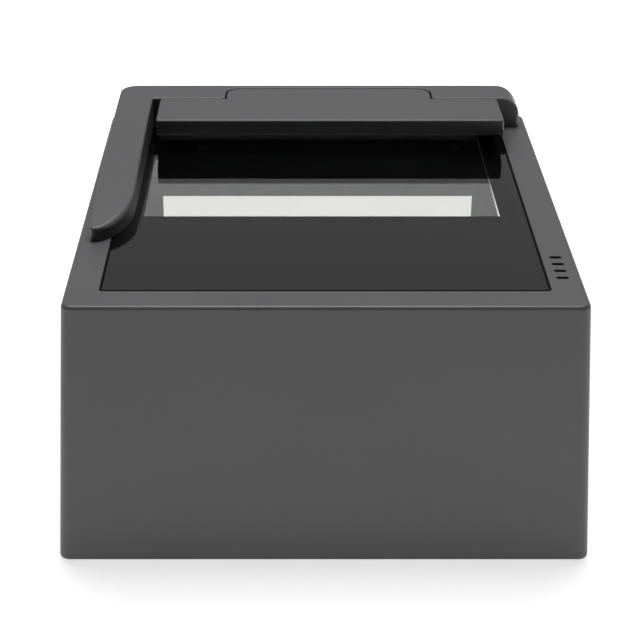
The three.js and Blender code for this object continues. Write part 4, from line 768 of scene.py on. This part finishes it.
def guideTopAt(x, y):
    # the lower of two surfaces: the rail's top line, a Bezier curve in y and z, and the rounded fall of the
    # right end, a quarter of a full ellipse in x and z: drop * (1 - (1 - share^p)^(1/p)), p a little over 2
    g = guide
    t = np.linspace(0, 1, 400)
    bend, rise = g["stop"] - g["tip"], g["top"] - g["tipTop"]
    parts = [(1 - t) ** 3, 3 * t * (1 - t) ** 2, 3 * t**2 * (1 - t), t**3]
    alongY = sum(p * v for p, v in zip(
        parts, [g["tip"], g["tip"] + bend * g["firstY"], g["tip"] + bend * g["secondY"], g["stop"]]))
    alongZ = sum(p * v for p, v in zip(
        parts, [g["tipTop"], g["tipTop"] + rise * g["firstZ"], g["top"], g["top"]]))
    rail = np.interp(y, alongY, alongZ)
    share = np.clip((np.asarray(x) - (g["right"] - g["rollWidth"])) / g["rollWidth"], 0, 1)
    fall = g["top"] - g["rollDrop"] * (1 - (1 - share ** g["rollPower"]) ** (1 / g["rollPower"]))
    return np.minimum(rail, fall)


def makeGuide():
    # the rail and the rear block in one plan, round the notch; the swept end is a quarter of an ellipse,
    # x = left + width * cos a, y = tip + sweep * (1 + sin a), whose edge radius swells between tip and stop
    g = guide
    a = np.linspace(math.radians(g["sweepStart"]), 0, 22)[:-1]
    sweepX = g["left"] + (g["inner"] - g["left"]) * np.cos(a)
    sweepY = g["tip"] + g["sweep"] + g["sweep"] * np.sin(a)
    share = np.linspace(0, 1, len(a))
    sweepEdge = g["sweepEdge"] - (g["sweepEdge"] - g["stopEdge"]) * share**3
    sweepEdge -= (g["sweepEdge"] - g["tipEdge"]) * (1 - share) ** 6
    corners = [(g["left"], g["tip"], g["frontCorner"], g["tipEdge"])]
    corners += [(x, y, 0, e) for x, y, e in zip(sweepX, sweepY, sweepEdge)]
    corners += [
        (g["inner"], g["stop"], g["insideCorner"], g["stopEdge"]),
        (g["notchLeft"], g["stop"], g["mouthCorner"], g["notchEdge"]),
        (g["notchLeft"], g["notchRear"], g["notchCorner"], g["notchRearEdge"]),
        (g["notchRight"], g["notchRear"], g["notchCorner"], g["notchEdge"]),
        (g["notchRight"], g["stop"], g["mouthCorner"], g["stopEdge"]),
        (g["right"], g["stop"], g["frontCorner"], g["notchEdge"]),
        (g["right"], g["rear"], g["rearCorner"], g["rearEdge"]),
        (g["left"], g["rear"], g["rearCorner"], g["sideEdge"]),
    ]
    path, edges = roundedPath(corners)
    rollX = g["right"] - g["rollWidth"] + g["rollWidth"] * np.sin(np.radians(np.arange(6, 90, 6)))
    margin = g["gridMargin"]
    gridX = np.concatenate([np.arange(g["left"] + margin, g["right"] - g["rollWidth"], g["gridX"]), rollX])
    gridY = np.arange(g["tip"] + margin, g["rear"], g["gridY"])
    spots = np.stack(np.meshgrid(gridX, gridY), -1).reshape(-1, 2)
    body = softTop("document_rail_and_stop", path, edges, guideTopAt, g["bottom"],
                   inside(spots, path, g["rimMargin"]))
    lap = g["floorLap"]
    floorPlan = roundedLoop(g["notchLeft"] - lap, g["notchRight"] + lap, g["stop"] + g["floorFront"],
                            g["notchRear"] + lap, g["floorCorner"], 6)
    floor = stack("floor", [atHeight(floorPlan, g["bottom"]), atHeight(floorPlan, g["notchFloor"])])
    middle, half = hinge["x"], g["padHalf"]
    pads = [boxBlock("pad", x - half, x + half, g["padFront"], g["padRear"], g["notchFloor"] - g["padSink"],
                     g["padTop"])
            for x in (middle - g["padOffset"], middle + g["padOffset"])]
    combine(body, [floor, *pads], "UNION")
    bore = barAlongX("bore", middle - g["boreHalf"], middle + g["boreHalf"], hinge["y"], hinge["z"],
                     hinge["bore"])
    holes = [post("hole", x, y, casing["holeRadius"], g["bottom"] - past, g["screwTop"], holeSides)
             for x, y in guideScrewPlaces]
    return combine(body, [bore, *holes])


rails = makeGuide()
smoothEdges(rails)
finishPiece(rails, "reader", ["document_guide"], casingAbs)
print("guide made:", len(rails.data.polygons))


# hood

hood = {
    "left": -62.9, "right": 71.1, "front": 49.9, "rear": 75.7, "bottom": 96.2, "top": 104.1,
    "tongueLeft": -36.45, "tongueRight": 44.65, "tongueRear": 88.3, "tongueCorner": 5.7,
    "corner": 1.1, "insideCorner": 0.5, "edge": 0.9, "rearEdge": 0.3, "tongueEdge": 0.3, "lip": 5.9,
    "wall": 1.9, "cavityFront": 57.4, "cavityRear": 73.2,
    "screwOffset": 49.58, "screwY": 65.3, "bossRadius": 3.0, "bossBottom": 97.7,
    "pocketOffset": 20.0, "pocketHalf": 4.2, "pocketFront": 78.2, "pocketRear": 87.4, "pocketTop": 102.4,
}


def makeHood():
    # a T in plan, hollow under the bar, with screw bosses inside and two spring pockets in the tongue
    h = hood
    corners = [
        (h["left"], h["front"], h["corner"], h["edge"]),
        (h["right"], h["front"], h["corner"], h["edge"]),
        (h["right"], h["rear"], h["corner"], h["rearEdge"]),
        (h["tongueRight"], h["rear"], h["insideCorner"], h["tongueEdge"]),
        (h["tongueRight"], h["tongueRear"], h["tongueCorner"], h["tongueEdge"]),
        (h["tongueLeft"], h["tongueRear"], h["tongueCorner"], h["tongueEdge"]),
        (h["tongueLeft"], h["rear"], h["insideCorner"], h["rearEdge"]),
        (h["left"], h["rear"], h["corner"], h["edge"]),
    ]
    path, edges = roundedPath(corners, spacing=4.0)
    body = softTop("hood_cover", path, edges, lambda x, y: np.full(len(x), h["top"]), h["bottom"],
                   np.zeros((0, 2)))
    # the lower front edge is a quarter circle, cut away as the corner outside it
    centreY, centreZ = h["front"] + h["lip"], h["bottom"] + h["lip"]
    a = np.linspace(math.pi, 1.5 * math.pi, 21)
    arc = np.stack([centreY + h["lip"] * np.cos(a), centreZ + h["lip"] * np.sin(a)], 1)
    far = 2 * past
    outline = np.concatenate([arc, [[centreY, h["bottom"] - far], [h["front"] - far, h["bottom"] - far],
                                    [h["front"] - far, centreZ]]])
    lip = alongX("lip", h["left"] - far, h["right"] + far, outline[::-1])
    below, roof = h["bottom"] - past, h["top"] - h["wall"]
    cavity = boxBlock("cavity", h["left"] + h["wall"], h["right"] - h["wall"], h["cavityFront"],
                      h["cavityRear"], below, roof)
    combine(body, [lip, cavity])
    screwXs = (hinge["x"] - h["screwOffset"], hinge["x"] + h["screwOffset"])
    bosses = [post("boss", x, h["screwY"], h["bossRadius"], h["bossBottom"], roof + h["wall"] / 2)
              for x in screwXs]
    combine(body, bosses, "UNION")
    pockets = [boxBlock("pocket", x - h["pocketHalf"], x + h["pocketHalf"], h["pocketFront"], h["pocketRear"],
                        below, h["pocketTop"])
               for x in (hinge["x"] - h["pocketOffset"], hinge["x"] + h["pocketOffset"])]
    holes = [post("hole", x, h["screwY"], casing["holeRadius"], h["bossBottom"] - past, roof, holeSides)
             for x in screwXs]
    bore = barAlongX("bore", h["tongueLeft"] - far, h["tongueRight"] + far, hinge["y"], hinge["z"],
                     hinge["bore"])
    return combine(body, [*pockets, *holes, bore])


cover = makeHood()
smoothEdges(cover)
finishPiece(cover, "hood", ["hood_shell"], casingAbs)
print("hood made:", len(cover.data.polygons))


# feet

foot = {"x": 67.6, "y": 75.5, "radius": 6.5, "edge": 0.35, "top": 1.0, "core": 0.4}


def makeFoot(name, x, y):
    # a low disc whose lower edge is a quarter circle
    f = foot
    a = np.linspace(0, math.pi / 2, 7)
    profile = [(f["core"], 0.0)]
    profile += [(f["radius"] - f["edge"] * (1 - math.sin(t)), f["edge"] * (1 - math.cos(t))) for t in a]
    profile += [(f["radius"], f["top"]), (f["core"], f["top"])]
    return turned(name, x, y, profile)


for end, signY in (("front", -1), ("rear", 1)):
    for side, signX in (("left", -1), ("right", 1)):
        disc = makeFoot(f"foot_disc_{end}_{side}", signX * foot["x"], signY * foot["y"])
        smoothEdges(disc)
        finishPiece(disc, "reader", [f"foot_{end}_{side}"], footRubber)


# studio

studio = {
    "floorSize": 4.0, "floorColour": "#e8e8e8", "nearRadius": 0.14, "farRadius": 0.55,
    "nearGlow": 0.7, "nearGloss": 0.8,  # how white the floor near the object looks, and its reflection
    "bounce": 0.54,  # how much of that white lights the object's walls
    "ambient": 0.2, "reflected": 0.33,  # the room's grey behind the object
    "frontShare": 0.03, "fadeY": (-0.35, 0.55),  # what is left of it in front, and where it fades
    "horizon": 0.4, "fadeZ": (0.02, 0.22),  # the sweep's white low down behind the object, and where it ends
    "topPower": 7.5, "topSize": (0.65, 0.5), "topPlace": (0.0, 0.2, 1.0), "topTarget": (0.0, 0.0, 0.09),
}
view = {
    "lens": 97.63, "sensor": 36.0, "place": (-0.01143, -0.5843, 0.3241),
    "down": 25.7, "shift": 0.0475,  # degrees, and a share of the picture's width
}


def shownRays(tree, rays):
    # rays that show the camera the studio itself, straight or through the glass, but don't light a surface
    straight = addNode(tree, "ShaderNodeMath", {0: rays.outputs["Diffuse Depth"], 1: 0.5},
                       operation="LESS_THAN")
    through = addNode(tree, "ShaderNodeMath",
                      {0: rays.outputs["Is Transmission Ray"], 1: straight.outputs[0]}, operation="MULTIPLY")
    return addNode(tree, "ShaderNodeMath", {0: rays.outputs["Is Camera Ray"], 1: through.outputs[0]},
                   operation="MAXIMUM")


def makeFloor():
    # a large square that glows nearly white towards the camera, less so near the object to keep its shadow
    half = studio["floorSize"] / 2 / mm
    corners = [[-half, -half, 0], [half, -half, 0], [half, half, 0], [-half, half, 0]]
    floor = makePiece("studio_floor", corners, [[0, 1, 2, 3]])
    material, tree, place = startMaterial("matt_paper_sweep")
    away = addNode(tree, "ShaderNodeVectorMath", {0: place}, operation="LENGTH")
    rays = addNode(tree, "ShaderNodeLightPath")
    shown = shownRays(tree, rays)
    near = addNode(tree, "ShaderNodeMix",
                   {0: shown.outputs[0], 2: studio["nearGloss"], 3: studio["nearGlow"]})
    glow = addNode(tree, "ShaderNodeMapRange",
                   {"Value": away.outputs["Value"], "From Min": studio["nearRadius"],
                    "From Max": studio["farRadius"], "To Min": near.outputs[0], "To Max": 1.0})
    mirrored = addNode(tree, "ShaderNodeMath", {0: shown.outputs[0], 1: rays.outputs["Is Glossy Ray"]},
                       operation="MAXIMUM")
    seen = addNode(tree, "ShaderNodeMath", {0: mirrored.outputs[0], 1: studio["bounce"]}, operation="MAXIMUM")
    strength = addNode(tree, "ShaderNodeMath", {0: glow.outputs["Result"], 1: seen.outputs[0]},
                       operation="MULTIPLY")
    paper = addNode(tree, "ShaderNodeBsdfDiffuse", {"Color": linear(studio["floorColour"])})
    light = addNode(tree, "ShaderNodeEmission", {"Strength": strength.outputs[0]})
    both = addNode(tree, "ShaderNodeAddShader", {0: paper.outputs[0], 1: light.outputs[0]})
    endMaterial(tree, both.outputs[0])
    floor.data.materials.append(material)


def makeWorld():
    # white where the camera looks; for light and reflections a grey room, darker in front of the object
    world = bpy.data.worlds.new("grey_room")
    bpy.context.scene.world = world
    world.use_nodes = True
    tree = world.node_tree
    tree.nodes.clear()
    rays = addNode(tree, "ShaderNodeLightPath")
    towards = addNode(tree, "ShaderNodeTexCoord")
    parts = addNode(tree, "ShaderNodeSeparateXYZ", {0: towards.outputs["Generated"]})
    behind = addNode(tree, "ShaderNodeMapRange",
                     {"Value": parts.outputs["Y"], "From Min": studio["fadeY"][0],
                      "From Max": studio["fadeY"][1], "To Min": studio["frontShare"], "To Max": 1.0})
    level = addNode(tree, "ShaderNodeMix",
                    {0: rays.outputs["Is Glossy Ray"], 2: studio["ambient"], 3: studio["reflected"]})
    room = addNode(tree, "ShaderNodeMath", {0: level.outputs[0], 1: behind.outputs["Result"]},
                   operation="MULTIPLY")
    low = addNode(tree, "ShaderNodeMapRange",
                  {"Value": parts.outputs["Z"], "From Min": studio["fadeZ"][0],
                   "From Max": studio["fadeZ"][1], "To Min": studio["horizon"], "To Max": 0.0})
    lowBehind = addNode(tree, "ShaderNodeMath", {0: low.outputs["Result"], 1: behind.outputs["Result"]},
                        operation="MULTIPLY")
    sweep = addNode(tree, "ShaderNodeMath", {0: room.outputs[0], 1: lowBehind.outputs[0]},
                    operation="MAXIMUM")
    shown = shownRays(tree, rays)
    strength = addNode(tree, "ShaderNodeMix", {0: shown.outputs[0], 2: sweep.outputs[0], 3: 1.0})
    back = addNode(tree, "ShaderNodeBackground", {"Color": (1, 1, 1, 1), "Strength": strength.outputs[0]})
    addNode(tree, "ShaderNodeOutputWorld", {"Surface": back.outputs[0]})


def makeLamp(name, power, size, place, target):
    lamp = bpy.data.lights.new(name, "AREA")
    lamp.shape = "RECTANGLE"
    lamp.energy = power
    lamp.size, lamp.size_y = size
    holder = bpy.data.objects.new(name, lamp)
    bpy.context.scene.collection.objects.link(holder)
    aim = Vector(target) - Vector(place)
    turn = aim.to_track_quat("-Z", "Y").to_matrix().to_4x4()
    holder.matrix_world = Matrix.Translation(place) @ turn
    return holder


def makeCamera():
    camera = bpy.data.cameras.new("front_view")
    camera.lens = view["lens"]
    camera.sensor_width = view["sensor"]
    camera.sensor_fit = "HORIZONTAL"
    camera.shift_x = view["shift"]
    holder = bpy.data.objects.new("front_view", camera)
    bpy.context.scene.collection.objects.link(holder)
    tilt = Matrix.Rotation(math.radians(90 - view["down"]), 4, "X")
    holder.matrix_world = Matrix.Translation(view["place"]) @ tilt
    bpy.context.scene.camera = holder


makeFloor()
makeWorld()
makeLamp("top_softbox", studio["topPower"], studio["topSize"], studio["topPlace"], studio["topTarget"])
makeCamera()
bpy.context.scene.view_settings.view_transform = "Standard"
print("studio made")
